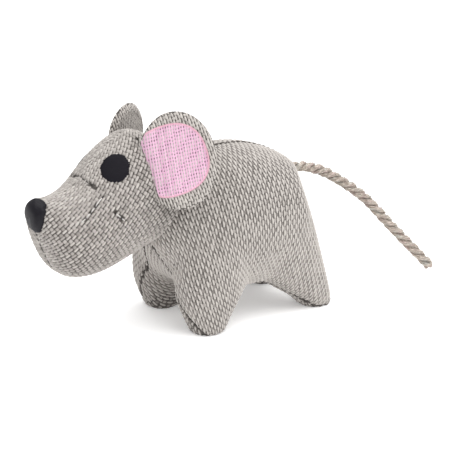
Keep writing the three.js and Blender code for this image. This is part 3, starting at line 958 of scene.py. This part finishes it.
# the head: one stuffed skin of two side panels, sewn along the middle of the face, with the nape inside the body
headForm = {
    "front": -82 * mm,
    "length": 82 * mm,
    "bottom": 38.3 * mm,
    "height": 71.2 * mm,
    "width": 45 * mm,
    "stations": [
        (0, 0.417, 0.593, 0.289), (0.018, 0.347, 0.614, 0.444), (0.061, 0.228, 0.621, 0.6),
        (0.116, 0.101, 0.618, 0.733), (0.195, 0.024, 0.635, 0.844), (0.305, 0, 0.691, 0.933),
        (0.427, 0.01, 0.824, 0.978), (0.561, 0.052, 0.944, 1), (0.695, 0.108, 1, 1),
        (0.841, 0.164, 0.937, 0.956), (0.939, 0.221, 0.824, 0.844), (1, 0.319, 0.712, 0.622),
    ],
    "squareness": 1.9,
    "bellySquareness": 2.3,
}
headMake = dict(coverMake, voxel=2.0 * mm, smoothing=5, mostSwelling=1.2 * mm, seamShownBelow=74 * mm, snap=0.45 * mm)
holeMake = dict(headMake, seamDepth=1.1 * mm, seamReach=1.9 * mm, rim=0.6 * mm, rimPoints=6)
# the head's floats take a lower warp tone than the body's: painted shade that darkens the whole head
headWeave = dict(
    bodyWeave, columnPitch=1.72 * mm, grain=[(0.656, 0, 0.755)] * 2, shear=(-0.2, 0.2),
    warp=(1.5 * mm, 3.5 * mm, 0.74 * mm, 0.22 * mm, 0.81), weft=(2.3 * mm, 2.2 * mm, 0.62 * mm, 0.2 * mm, 0.63),
    freeOfSeam=0.35 * mm,
)

headCover = stuffedCover("head_cover", [lyingForm("head", headForm, headMake)], headMake)
refine(headCover)
snapToSeam(headCover, lambda points: points[:, 1], headMake["snap"])
headPanel = np.where(faceMiddles(headCover)[:, 1] < 0, 0, 1)
headSeam = cutSeams(headCover, headPanel)
flatten(headCover)
headSeam = headSeam[pointsOf(headCover)[headSeam, 2] < headMake["seamShownBelow"]]
headMarks = {
    # a short dart over the bridge of the nose, the holes of two rows of stitches, and the crease above the ear, in
    # millimetres on the left side
    "dart": [(-53.9, -1.5, 89.7), (-54.0, -3.8, 89.2), (-53.3, -8.2, 88.1), (-52.3, -11.8, 86.6)],
    "upperHoles": [
        (-51.0, -16.4, 83.0), (-55.9, -16.5, 78.6), (-58.7, -16.9, 76.1), (-61.8, -17.0, 74.1), (-64.8, -17.0, 72.1),
    ],
    "lowerHoles": [(-47.0, -21.2, 74.9), (-44.0, -22.1, 71.9), (-41.7, -22.3, 69.9)],
    "earCrease": [(-23.7, -6.4, 107.6), (-23.8, -8.3, 106.5), (-24.1, -10.5, 105.0)],
}
markLines, markHoles = ("dart", "earCrease"), ("upperHoles", "lowerHoles")
markStep = 0.5 * mm
bothSides = np.array([[1, 1, 1], [1, -1, 1]])[:, None]


def markPlaces(route, step=None):
    # the marks of one side and of the other, with points at each step along a line where a step is given
    route = np.array(route) * mm
    if step:
        route = alongPath(route, max(4, int(lengthAlong(route)[-1] / step)))[0]
    return (route[None] * bothSides).reshape(-1, 3)


dartPlaces = np.concatenate([markPlaces(headMarks[name], markStep) for name in markLines])
holePlaces = np.concatenate([markPlaces(headMarks[name]) for name in markHoles])
pressSeam(headCover, np.concatenate([pointsOf(headCover)[headSeam], dartPlaces]), headMake)
pressSeam(headCover, holePlaces, holeMake)
# floats stay clear of the seam, of the darts, and of the holes and their rims
rimTurn = fullTurn(holeMake["rimPoints"])
holeRims = holePlaces[:, None] + holeMake["rim"] * np.stack([np.cos(rimTurn), 0 * rimTurn, np.sin(rimTurn)], -1)
bareMarks = [onCover(places, headCover)[0] for places in (dartPlaces, holePlaces, holeRims.reshape(-1, 3))]
headBare = np.concatenate([pointsOf(headCover)[headSeam], *bareMarks])
dress(headCover, canvasGround)
headPattern = patternOf(headCover, headPanel, headWeave["grain"])
for panelName, (points, uv), shear in zip(("head_left_weave", "head_right_weave"), headPattern, headWeave["shear"]):
    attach(yarnFloats(panelName, headCover, points, uv, headWeave, headBare, None, shear), "toy")
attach(headCover, "toy")
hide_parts("head_left_panel", "head_right_panel", "head_stuffing")
print("head made,", len(headCover.data.polygons), "faces")

# an ear: two layers of canvas turned out like a bag, an oval with a soft rolled rim, sewn into the head at its fold
earForm = {
    "height": 50 * mm,
    "halfThickness": 1.5 * mm,
    "rimRoll": 1.1 * mm,
    "rimPlace": 0.88,
    "rimWidth": 0.085,
    "sharpness": 6,
    "rings": 26,
    "around": 110,
    "bend": 3 * mm,
    "tuck": 0.3,
    "tuckFrom": 4 * mm,
    # the flat patterns of both layers lie this far apart, and no triangle of one of them is larger than widest
    "patternApart": 200 * mm,
    "widest": 20 * mm,
    # depth and place of the oval, its turn, and how far it is cupped
    "left": {"depth": 40 * mm, "fromFold": 11.5 * mm, "upFold": 0, "twist": 12.0, "cup": 2.2 * mm},
    "right": {"depth": 33 * mm, "fromFold": 15.0 * mm, "upFold": 2.2 * mm, "twist": -12.0, "cup": 2.5 * mm},
}
earWeave = dict(
    bodyWeave, rowPitch=4.2 * mm,
    warp=(1.3 * mm, 3.6 * mm, 0.5 * mm, 0.22 * mm, 1.08), weft=(2.0 * mm, 2.0 * mm, 0.4 * mm, 0.2 * mm, 0.75),
)


def earAxes(side):
    # the fold's middle, the direction along it, outwards from it over the ear, and the way the ear faces
    fold = np.array(joints[side + "_ear_fold"]["pos_m"])
    low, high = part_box(side + "_ear_front")
    up = np.array(joints[side + "_ear_fold"]["axis"])
    up = up * np.sign(up[2])
    out = (np.array(low) + np.array(high)) / 2 - fold
    out = unit(out - up * (out @ up))
    faces = np.cross(out, up) * (1 if side == "left" else -1)
    return fold, up, out, faces


def earPlaces(side, across, along, form):
    # where on the ear's oval a place lies, as its distance from the middle over the oval's radius
    turn = math.radians(form[side]["twist"])
    fromMiddle, over = across - form[side]["fromFold"], along - form[side]["upFold"]
    first = math.cos(turn) * fromMiddle - math.sin(turn) * over
    second = math.sin(turn) * fromMiddle + math.cos(turn) * over
    return np.hypot(first / (form[side]["depth"] / 2), second / (form["height"] / 2))


def earSheet(side, across, along, form):
    # the middle sheet of the ear, cupped towards the front as the square of the distance from the middle
    fold, up, out, faces = earAxes(side)
    radius = earPlaces(side, across, along, form)
    rise = form[side]["cup"] * (radius**2 - 0.5)
    # close to the fold and behind it the sheet turns into the head
    rise = rise - form["tuck"] * np.maximum(form["tuckFrom"] - across, 0) ** 2 / form["tuckFrom"]
    return fold + across[..., None] * out + along[..., None] * up + rise[..., None] * faces


def earSkin(radius, form):
    # half the ear's thickness: full over the middle, a roll near the rim, and round at the edge
    body = np.maximum(1 - radius ** form["sharpness"], 0) ** 0.5
    roll = np.exp(-(((radius - form["rimPlace"]) / form["rimWidth"]) ** 2))
    return body * (form["halfThickness"] + form["rimRoll"] * roll)


def earPiece(side, form):
    # rings of the oval on the middle sheet, moved out by the skin on its front and then on its back
    radius = np.sin(np.linspace(0, math.pi / 2, form["rings"]))[:, None]
    turn = fullTurn(form["around"])[None]
    twist = math.radians(form[side]["twist"])
    first, second = form[side]["depth"] / 2 * radius * np.cos(turn), form["height"] / 2 * radius * np.sin(turn)
    across = form[side]["fromFold"] + math.cos(twist) * first + math.sin(twist) * second
    along = form[side]["upFold"] + math.cos(twist) * second - math.sin(twist) * first
    sheet = earSheet(side, across, along, form)
    skin = (earSkin(radius, form) * np.ones_like(turn))[..., None] * earAxes(side)[3]
    front, back = sheet + skin, sheet - skin
    rings = np.concatenate([front, back[::-1]])
    piece = addPiece(side + "_ear", rings, gridQuads(len(rings), form["around"], True))
    # the flat pattern keeps each ring's distance from the middle, measured over the skin
    heading = np.arctan2(second[-1:], first[-1:]) - twist
    flat = []
    for half in (front, back):
        steps = np.linalg.norm(np.diff(half, axis=0), axis=-1)
        reach = np.concatenate([np.zeros((1, form["around"])), np.cumsum(steps, 0)])
        flat.append(np.stack([reach * np.cos(heading), reach * np.sin(heading)], -1))
    setUv(piece, "pattern", np.concatenate([flat[0], flat[1][::-1] + (form["patternApart"], 0)]).reshape(-1, 2))
    closePoles(piece)
    return piece


def earWeaving(side, ear, weave, form):
    # floats on every triangle that lies flat in one of both patterns: not between them, and not shrunk to a line
    points, uv, _ = trianglePattern(ear)
    spread = uv.max(1) - uv.min(1)
    whole = np.cross(uv[:, 1] - uv[:, 0], uv[:, 2] - uv[:, 0])
    good = (spread.max(1) < form["widest"]) & (np.abs(whole) > 1e-12)
    return yarnFloats(side + "_ear_weave", ear, points[good], uv[good], weave)


def foldWithEar(part):
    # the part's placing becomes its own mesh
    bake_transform(part)


for side in ("left", "right"):
    ear = earPiece(side, earForm)
    dress(ear, canvasGround)
    for part in (ear, earWeaving(side, ear, earWeave, earForm)):
        foldWithEar(part)
    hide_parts(side + "_ear_root", side + "_ear_back", side + "_ear_front")
print("ears made")

# embroidery: threads laid side by side from edge to edge, as a height over the cloth
earPatch = {
    "middle": (-3.5 * mm, 1.2 * mm),
    "radius": (19.6 * mm, 18.6 * mm),
    "squareness": 2.4,
    "cutAt": {"left": -3.5 * mm, "right": 5 * mm},
    "threadPitch": 1.32 * mm,
    "samples": 6,
    "rows": 110,
    "slant": 0.17,
    "stitch": 1.75 * mm,
    "stagger": 0.08,
    "lift": 0.55 * mm,
    "crown": 0.38 * mm,
    "hole": 0.3 * mm,
    "edge": 1.6 * mm,
    "edgeFrom": 0.4,
    "edgeLift": 0.3 * mm,
    "rimFall": 0.6 * mm,
    "sunk": 0.5 * mm,
    # the slits: how far out of step, from which to which wave they open, their width in threads, and their distance
    # from the edge
    "slitJitter": 0.15,
    "slitWave": (-0.35, 0.4),
    "slitWidth": 0.29,
    "slitFromEdge": (0.8 * mm, 1.6 * mm),
    # the crown that the material reads: a level, the thread's roundness, and what a slit takes away, where the material
    # paints shade into the slit
    "shine": (0.72, 0.28, 0.95),
    # threads end within this share of the ear's oval, and are tried over this share of the patch, at so many places
    "onEar": 0.985,
    "triedReach": 1.2,
    "triedPlaces": 1600,
    "triedThreads": 600,
    "triedMargin": 8 * mm,
    "shortest": 0.3 * mm,
}
eyePatch = {
    "place": {"left": (-41.4 * mm, -13.2 * mm, 96.0 * mm), "right": (-39.5 * mm, -18.0 * mm, 89.5 * mm)},
    "threadsRun": (0.809, -0.588, 0),
    "looks": (-0.498, -0.686, 0.530),
    "radius": 8.1 * mm,
    "threadPitch": 0.6 * mm,
    "samples": 4,
    "columns": 30,
    "crown": 0.9 * mm,
    "ridge": 0.10 * mm,
    "jagged": 0.3 * mm,
    "jaggedFrom": 2 * mm,
    # the share of the radius over which the dome rises, its step at the edge, and the way in which the step and the
    # ridges rise
    "domeShare": 0.55,
    "step": 0.4 * mm,
    "stepFall": 0.3 * mm,
    "ridgeFall": 0.5 * mm,
}
nosePatch = {
    "place": (-92 * mm, -2.7 * mm, 76.6 * mm),
    "size": (23.8 * mm, 26.3 * mm),
    "pear": 0.32,
    "topSquareness": 2.6,
    "lean": 14.3 * mm,
    "threadPitch": 0.65 * mm,
    "samples": 4,
    "columns": 36,
    "crown": 4.0 * mm,
    "crownPower": 0.45,
    "ridge": 0.03 * mm,
    "ridgePower": 0.2,
}
patchSunk = 0.4 * mm
finestWeld = 0.002 * mm
threadShades = {
    "pink": (0.53, 0.295, 0.42),
    "palePink": (0.77, 0.49, 0.64),
    "paintedSlitShadow": (0.045, 0.018, 0.055),
    "salmon": (0.62, 0.31, 0.38),
    "black": (0.004, 0.0035, 0.0055),
    "paleBlack": (0.011, 0.0095, 0.0145),
}


def closedSheet(name, front, back):
    # two grids that meet along their edges become one closed skin
    rows, columns = front.shape[:2]
    return addPiece(name, np.concatenate([front, back[::-1]]), gridQuads(2 * rows, columns))


def foldedRows(values):
    # a value for each place of the front grid, and again for the back that lies behind it
    return np.concatenate([values, values[::-1]])


def roundRidge(share):
    # a thread's round back: half a circle over each pitch, highest in its middle
    return np.sqrt(np.maximum(1 - (2 * (share % 1) - 1) ** 2, 0))


def pinkFinish(shades):
    # fibres and each thread's tint shade the pink, which turns salmon at the edge; the slits are painted dark, as shade
    # down in them
    material, tree, shader = addFinish("pink thread", {"Roughness": 0.5, "Sheen Weight": 0.25})
    crown, edge, tint = (attributeNode(tree, name) for name in ("crown", "edge", "tint"))
    fibres = fibreNode(tree, "thread", 7000, 350)
    lit = weigh(tree, fibres, 0.6, weigh(tree, tint, 0.25))
    base = rampNode(tree, lit, [(0.2, shades["pink"]), (0.8, shades["palePink"])])
    base = mixColours(tree, weigh(tree, edge, 0.75), base, shades["salmon"])
    paintedSlitShade = rampNode(tree, crown, [(0.0, (1, 1, 1)), (0.7, (0, 0, 0))])
    paint(tree, shader, mixColours(tree, paintedSlitShade, base, shades["paintedSlitShadow"]))
    bumpNode(tree, shader, fibres, 0.08 * mm, 0.5)
    return material


def blackFinish(name, shades, coat):
    # matt black thread. A smooth coat of the given weight lies over it where it is pressed shiny
    fixed = {"Roughness": 0.55, "Specular IOR Level": 0.1, "Coat Weight": coat, "Coat Roughness": 0.1}
    material, tree, shader = addFinish(name, fixed)
    fibres = fibreNode(tree, "thread", 350, 6000)
    paint(tree, shader, rampNode(tree, fibres, [(0.3, shades["black"]), (0.8, shades["paleBlack"])]))
    bumpNode(tree, shader, fibres, 0.1 * mm, 0.6)
    return material


def patchReach(across, along, patch, middle, wide):
    # a superellipse: the shares of its radii, each to the power of the squareness, added up. It is 1 on the outline
    sideways = np.abs((across - middle) / wide) ** patch["squareness"]
    return sideways + np.abs((along - patch["middle"][1]) / patch["radius"][1]) ** patch["squareness"]


def threadEnds(side, across, patch, form, middle, wide):
    # where a slanted thread enters and leaves the rounded D: the lowest and highest of many places along it that lie
    # inside its oval and on the ear, and above the line where the D is cut
    along = np.linspace(-patch["triedReach"], patch["triedReach"], patch["triedPlaces"])[:, None] * patch["radius"][1]
    slanted = across + patch["slant"] * along
    inside = patchReach(slanted, along, patch, middle, wide) < 1
    inside = inside & (earPlaces(side, slanted, along, form) < patch["onEar"])
    low, high = np.where(inside, along, 1).min(0), np.where(inside, along, -1).max(0)
    return np.maximum(low, (patch["cutAt"][side] - across) / patch["slant"]), high


def earEmbroidery(side, patch, form):
    # columns of thread slant across a rounded D that is cut along the fold. Small slits stay open between
    # neighbouring columns, a part of a stitch further on from one gap to the next
    narrow = form[side]["depth"] / form["left"]["depth"]
    middle, wide = form[side]["fromFold"] + patch["middle"][0] * narrow, patch["radius"][0] * narrow
    lowest, highest = patch["cutAt"][side] - patch["triedMargin"], middle + wide + patch["triedMargin"]
    tried = np.linspace(lowest, highest, patch["triedThreads"])
    start, end = threadEnds(side, tried, patch, form, middle, wide)
    first, last = tried[end - start > patch["shortest"]][[0, -1]]
    threads = int((last - first) / patch["threadPitch"])
    column = np.linspace(0, threads, threads * patch["samples"] + 1)[None]
    across = first + (last - first) * column / threads
    start, end = threadEnds(side, across[0], patch, form, middle, wide)
    along = start + (end - start) * np.linspace(0, 1, patch["rows"])[:, None]
    across = across + patch["slant"] * along
    number = np.minimum(column.astype(int), threads - 1)
    reach = patchReach(across, along, patch, middle, wide)
    fromEdge = patch["radius"][1] * (1 - np.minimum(reach, 1) ** (1 / patch["squareness"]))
    between = np.round(column).astype(int)
    phase = rng.uniform(-patch["slitJitter"], patch["slitJitter"], threads + 1)[between] + patch["stagger"] * between
    hole = smoothStep(*patch["slitWave"], np.cos(2 * math.pi * (along / patch["stitch"] + phase)))
    hole = hole * np.exp(-(((column - between) / patch["slitWidth"]) ** 2))
    hole = hole * smoothStep(*patch["slitFromEdge"], fromEdge)
    level, roundPart, holePart = patch["shine"]
    # the crown drops in the slits, which pinkFinish paints dark as painted shade
    crown = np.clip(level + roundPart * roundRidge(column) - holePart * hole, 0, 1)
    edge = 1 - smoothStep(patch["edgeFrom"], 1.0, fromEdge / patch["edge"])
    height = patch["lift"] + patch["crown"] * roundRidge(column) - patch["hole"] * hole + patch["edgeLift"] * edge
    height = height * smoothStep(0, patch["rimFall"], np.minimum(fromEdge, np.minimum(along - start, end - along)))
    radius = earPlaces(side, across, along, form)
    faces = earAxes(side)[3]
    base = earSheet(side, across, along, form) + (earSkin(radius, form) - patch["sunk"])[..., None] * faces
    piece = closedSheet(side + "_ear_embroidery", base + height[..., None] * faces, base)
    tint = rng.random(threads)[number] * np.ones_like(along)
    for name, values in (("crown", crown), ("edge", edge), ("tint", tint)):
        setAttribute(piece, name, foldedRows(values))
    thread = np.stack([column * patch["threadPitch"] * np.ones_like(along), along], -1)
    setUv(piece, "thread", foldedRows(thread).reshape(-1, 2))
    closePoles(piece, finestWeld)
    return piece


def laidThreads(name, sideways, upwards, height, cover, start):
    # a patch of threads on a cover: a flat grid is laid on the cover and raised along its normal
    flat, normal = onCover(start.reshape(-1, 3), cover)
    flat, normal = flat.reshape(start.shape), normal.reshape(start.shape)
    base = flat - patchSunk * normal
    piece = closedSheet(name, base + height[..., None] * normal, base)
    thread = np.stack([sideways, upwards], -1)
    setUv(piece, "thread", foldedRows(thread).reshape(-1, 2))
    closePoles(piece, finestWeld)
    return piece


def eyeEmbroidery(side, patch, mirror, cover):
    # level threads across a disc, each a little longer or shorter than the disc at both ends
    threads = int(2 * patch["radius"] / patch["threadPitch"])
    rows = np.linspace(-1, 1, threads * patch["samples"] + 1)[:, None]
    share = np.linspace(-1, 1, patch["columns"])[None]
    column = (rows + 1) / 2 * threads
    number = np.minimum(column.astype(int), threads - 1)
    half = patch["radius"] * np.sqrt(np.maximum(1 - rows**2, 0))
    jag = rng.normal(0, patch["jagged"], (threads, 2))[number[:, 0]]
    ends = np.where(share < 0, jag[:, :1], jag[:, 1:]) * np.abs(share) ** 3 * smoothStep(0, patch["jaggedFrom"], half)
    sideways, upwards = (half + ends) * share, patch["radius"] * rows * np.ones_like(share)
    fromEdge = np.minimum(half * (1 - np.abs(share)), patch["radius"] * (1 - np.abs(rows)) * np.ones_like(share))
    # a step at the edge, a quarter of a circle up to the flat middle, and the threads' round backs
    dome = np.sqrt(np.clip(1 - (1 - np.clip(fromEdge / (patch["domeShare"] * patch["radius"]), 0, 1)) ** 2, 0, 1))
    height = patch["step"] * smoothStep(0, patch["stepFall"], fromEdge) + patch["crown"] * dome
    height = height + patch["ridge"] * roundRidge(column) * smoothStep(0, patch["ridgeFall"], fromEdge)
    level, looks = np.array(patch["threadsRun"], float), np.array(patch["looks"])
    tall = np.cross(looks, level)
    start = np.array(patch["place"][side]) + sideways[..., None] * level + upwards[..., None] * tall
    start = start * np.array([1, mirror, 1])
    return laidThreads(side + "_eye_embroidery", sideways, upwards, height, cover, start)


def noseEmbroidery(patch, cover):
    # level threads over a dome whose outline is an oval, wider and squarer towards its top, which leans back
    wide, tall = patch["size"]
    threads = int(tall / patch["threadPitch"])
    rows = np.linspace(-1, 1, threads * patch["samples"] + 1)[:, None]
    share = np.linspace(-1, 1, patch["columns"])[None]
    power = np.where(rows > 0, patch["topSquareness"], 2)
    half = wide / 2 * np.maximum(1 - np.abs(rows) ** power, 0) ** (1 / power) * (1 + patch["pear"] * rows)
    sideways, upwards = half * share, tall / 2 * rows * np.ones_like(share)
    fill = np.clip((1 - rows**2) * (1 - share**2), 0, 1)
    ridge = patch["ridge"] * roundRidge((rows + 1) / 2 * threads)
    height = patch["crown"] * fill ** patch["crownPower"] + ridge * fill ** patch["ridgePower"]
    back = patch["lean"] * np.maximum(rows, 0) ** 2 * np.ones_like(share)
    start = np.array(patch["place"]) + np.stack([back, sideways, upwards], -1)
    return laidThreads("nose_embroidery", sideways, upwards, height, cover, start)


pinkThread = pinkFinish(threadShades)
eyeThread = blackFinish("eye thread", threadShades, 0.0)
noseThread = blackFinish("nose thread", threadShades, 0.15)
for side in ("left", "right"):
    patch = earEmbroidery(side, earPatch, earForm)
    dress(patch, pinkThread)
    foldWithEar(patch)
    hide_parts(side + "_ear_patch")
for side, mirror in (("left", 1), ("right", -1)):
    eye = eyeEmbroidery(side, eyePatch, mirror, headCover)
    dress(eye, eyeThread)
    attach(eye, "toy")
    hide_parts(side + "_eye")
nose = noseEmbroidery(nosePatch, headCover)
dress(nose, noseThread)
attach(nose, "toy")
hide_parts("nose")
print("embroidery laid")

# sewing: brown and dark stitches along the seams, pale thread between the holes on the cheeks, and dark thread laid as
# painted shade in those holes, along the dart and along the crease above the ear
seamStitches = {
    "length": 3 * mm,
    "arch": 0.35 * mm,
    "offFloor": 0.1 * mm,
    "points": 7,
    "sides": 6,
    "pathStep": 0.25 * mm,
    "rounds": 6,
}
# centre is a place in the side view, which the seam runs round
spineStitches = dict(
    seamStitches, gap=0.6 * mm, radius=0.6 * mm, lift=0.9 * mm, rounds=24,
    centre=(35 * mm, 45 * mm), halfWidth=1 * mm, lowest=50 * mm,
)
hemStitches = dict(
    seamStitches, gap=1 * mm, radius=0.62 * mm, lift=0.35 * mm, rounds=3, centre=(42 * mm, 60 * mm), fromMiddle=2 * mm,
)
chinStitches = dict(
    seamStitches, length=2.8 * mm, gap=0.9 * mm, radius=0.55 * mm, lift=0.3 * mm, centre=(-45 * mm, 74 * mm),
)
creaseShadeStitches = dict(seamStitches, gap=0.25 * mm, radius=0.2 * mm, lift=0.4 * mm, arch=0.2 * mm)
cheekStitches = dict(seamStitches, length=2.6 * mm, radius=0.3 * mm, arch=0.6 * mm, lift=0.5 * mm)
# a hole's shade is painted as a dark stitch that starts before the pale one and ends under it
holeShadeStitches = dict(
    seamStitches, length=2.6 * mm, radius=0.42 * mm, arch=0.2 * mm, lift=0.35 * mm, before=0.4 * mm, after=1.3 * mm,
)
stitchShades = {
    "seam thread": ((0.014, 0.012, 0.011), (0.045, 0.040, 0.036)),
    "hem thread": ((0.045, 0.039, 0.035), (0.15, 0.134, 0.122)),
    "self coloured thread": ((0.46, 0.44, 0.42), (0.70, 0.68, 0.66)),
}


def threadFinish(name, low, high):
    # a twisted thread, from its dark to its pale shade by noise along it
    material, tree, shader = addFinish(name, {"Roughness": 0.85})
    twist = fibreNode(tree, "thread", 2600, 900, 2.0)
    paint(tree, shader, rampNode(tree, twist, [(0.3, low), (0.7, high)]))
    bumpNode(tree, shader, twist, 0.1 * mm, 0.6)
    return material


def stitchTubes(name, starts, ends, cover, stitch, material):
    # a stitch is a thin tube from start to end over the cover: a parabola of the arch's height that dives in by half of
    # it at both ends, with the radius of an ellipse
    count, share = len(starts), np.linspace(0, 1, stitch["points"])
    lines = starts[:, None] + (ends - starts)[:, None] * share[None, :, None]
    base, normal = onCover(lines.reshape(-1, 3), cover)
    rise = stitch["lift"] + stitch["arch"] * (4 * share * (1 - share)) - 0.5 * stitch["arch"]
    lines = (base + normal * np.tile(rise, count)[:, None]).reshape(lines.shape)
    # under the feet they are pressed into the cloth
    lines[..., 2] = np.maximum(lines[..., 2], stitch["radius"] + stitch["offFloor"])
    radii = np.broadcast_to(stitch["radius"] * np.sqrt(np.maximum(1 - (2 * share - 1) ** 2, 0)), lines.shape[:2])
    skin = tubes(lines, radii, stitch["sides"])
    piece = addPiece(name, skin, gridQuads(stitch["points"], stitch["sides"], True, count))
    around = fullTurn(stitch["sides"]) * stitch["radius"]
    thread = np.stack(np.broadcast_arrays(around, share[:, None] * stitch["length"]), -1)
    setUv(piece, "thread", (thread[None] + rng.random((count, 1, 1, 2))).reshape(-1, 2))
    closePoles(piece, finestWeld)
    dress(piece, material)
    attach(piece, "toy")


def runningStitch(row, stitch):
    # starts and ends along a row of places, read at even steps: one stitch and one gap after another
    step = stitch["pathStep"]
    path = evenPath(row, step, stitch["rounds"])
    each, long = int((stitch["length"] + stitch["gap"]) / step), int(stitch["length"] / step)
    starts = np.arange(0, len(path) - long, each)
    return path[starts], path[starts + long]


def sewRows(name, rows, cover, stitch, material):
    # a running stitch along each row of places
    runs = zip(*(runningStitch(row, stitch) for row in rows))
    stitchTubes(name, *(np.concatenate(ends) for ends in runs), cover, stitch, material)


darkThread, brownThread, paleThread = (threadFinish(name, *pair) for name, pair in stitchShades.items())
fromMiddle = bodySeamPlaces[:, 1]
onSpine = (np.abs(fromMiddle) < spineStitches["halfWidth"]) & (bodySeamPlaces[:, 2] > spineStitches["lowest"])
spine = seamOrder(bodySeamPlaces[onSpine], *spineStitches["centre"])
sewRows("body_spine_stitches", [spine], bodyCover, spineStitches, brownThread)
hems = [
    seamOrder(bodySeamPlaces[fromMiddle * side > hemStitches["fromMiddle"]], *hemStitches["centre"])
    for side in (-1, 1)
]
sewRows("body_hem_stitches", hems, bodyCover, hemStitches, brownThread)
chin = seamOrder(pointsOf(headCover)[headSeam], *chinStitches["centre"])
sewRows("chin_stitches", [chin], headCover, chinStitches, darkThread)
# a dark line along the dart and along the crease above the ear: painted shade in these creases, laid as dark thread
darts = [places for name in markLines for places in markPlaces(headMarks[name], markStep).reshape(2, -1, 3)]
sewRows("dart_and_crease_shade", darts, headCover, creaseShadeStitches, darkThread)
cheeks = [np.array(headMarks[name]) * mm for name in markHoles]
cheekStarts, cheekEnds = (
    (np.concatenate([row[kept] for row in cheeks])[None] * bothSides).reshape(-1, 3)
    for kept in (slice(None, -1), slice(1, None))
)
cheekRun = unit(cheekEnds - cheekStarts)
holeStarts, holeEnds = cheekStarts - holeShadeStitches["before"] * cheekRun, cheekStarts + holeShadeStitches["after"] * cheekRun
stitchTubes("cheek_hole_shade", holeStarts, holeEnds, headCover, holeShadeStitches, darkThread)
stitchTubes("cheek_stitches", cheekStarts, cheekEnds, headCover, cheekStitches, paleThread)
print("seams sewn")

# a white studio: even light from all round, a large soft light from above and a weaker one from the toy's left, and a
# white floor
studio = {
    "skyStrength": 0.74,
    "floorSize": 6.0,
    "floorTone": 0.97,
    "floorToneJitter": 0.01,
    "floorGlow": 0.24,
    # place, size and power of each light, and the place that they look at
    "lights": {"key_light": ((0.35, -1.1, 1.35), 1.6, 11.0), "top_light": ((0.1, -0.1, 1.7), 2.4, 36.0)},
    "aim": (0.02, 0, 0.06),
}


def addLight(name, place, size, power, aim):
    # a square soft light that looks at the aim
    light = bpy.data.objects.new(name, bpy.data.lights.new(name, "AREA"))
    scene.collection.objects.link(light)
    light.data.size, light.data.energy = size, power
    light.location = place
    light.rotation_mode = "QUATERNION"
    light.rotation_quaternion = (Vector(aim) - light.location).to_track_quat("-Z", "Y")


def addStudio(room):
    # the sky, the lights and the floor, which glows a little so that it stays white
    scene.world = bpy.data.worlds.new("studio")
    scene.world.use_nodes = True
    sky = scene.world.node_tree.nodes["Background"]
    sky.inputs["Color"].default_value = (1, 1, 1, 1)
    sky.inputs["Strength"].default_value = room["skyStrength"]
    for name, light in room["lights"].items():
        addLight(name, *light, room["aim"])
    half = room["floorSize"] / 2
    floor = addPiece("floor", [(-half, -half, 0), (half, -half, 0), (half, half, 0), (-half, half, 0)], [(0, 1, 2, 3)])
    fixed = {"Roughness": 0.9, "Emission Color": (1, 1, 1, 1), "Emission Strength": room["floorGlow"]}
    paper, tree, shader = addFinish("white paper", fixed)
    fine = noiseNode(tree, objectPlace(tree), 300)
    darkest, lightest = ((room["floorTone"] + sign * room["floorToneJitter"],) * 3 for sign in (-1, 1))
    paint(tree, shader, rampNode(tree, fine, [(0, darkest), (1, lightest)]))
    floor.data.materials.append(paper)


addStudio(studio)
print("studio lit")

# the squeaker inside keeps its CAD shape and gets its own plastics: a name, a shade and a roughness
plastics = {
    "squeaker_bladder": ("blown plastic", (0.80, 0.79, 0.76), 0.45),
    "squeaker_reed": ("whistle plastic", (0.70, 0.12, 0.08), 0.3),
}


def plasticFinish(name, shade, roughness, darkest=0.85):
    # cloudy between the shade and the darkest share of it
    material, tree, shader = addFinish(name, {"Roughness": roughness})
    cloud = noiseNode(tree, objectPlace(tree), 180, 3.0)
    darker = tuple(darkest * part for part in shade)
    paint(tree, shader, rampNode(tree, cloud, [(0.3, darker), (0.7, shade)]))
    bumpNode(tree, shader, cloud, 0.05 * mm, 0.3)
    return material


for node, plastic in plastics.items():
    mesh = frame["nodes"][node].data
    mesh.materials.clear()
    mesh.materials.append(plasticFinish(*plastic))

print("scene ready")
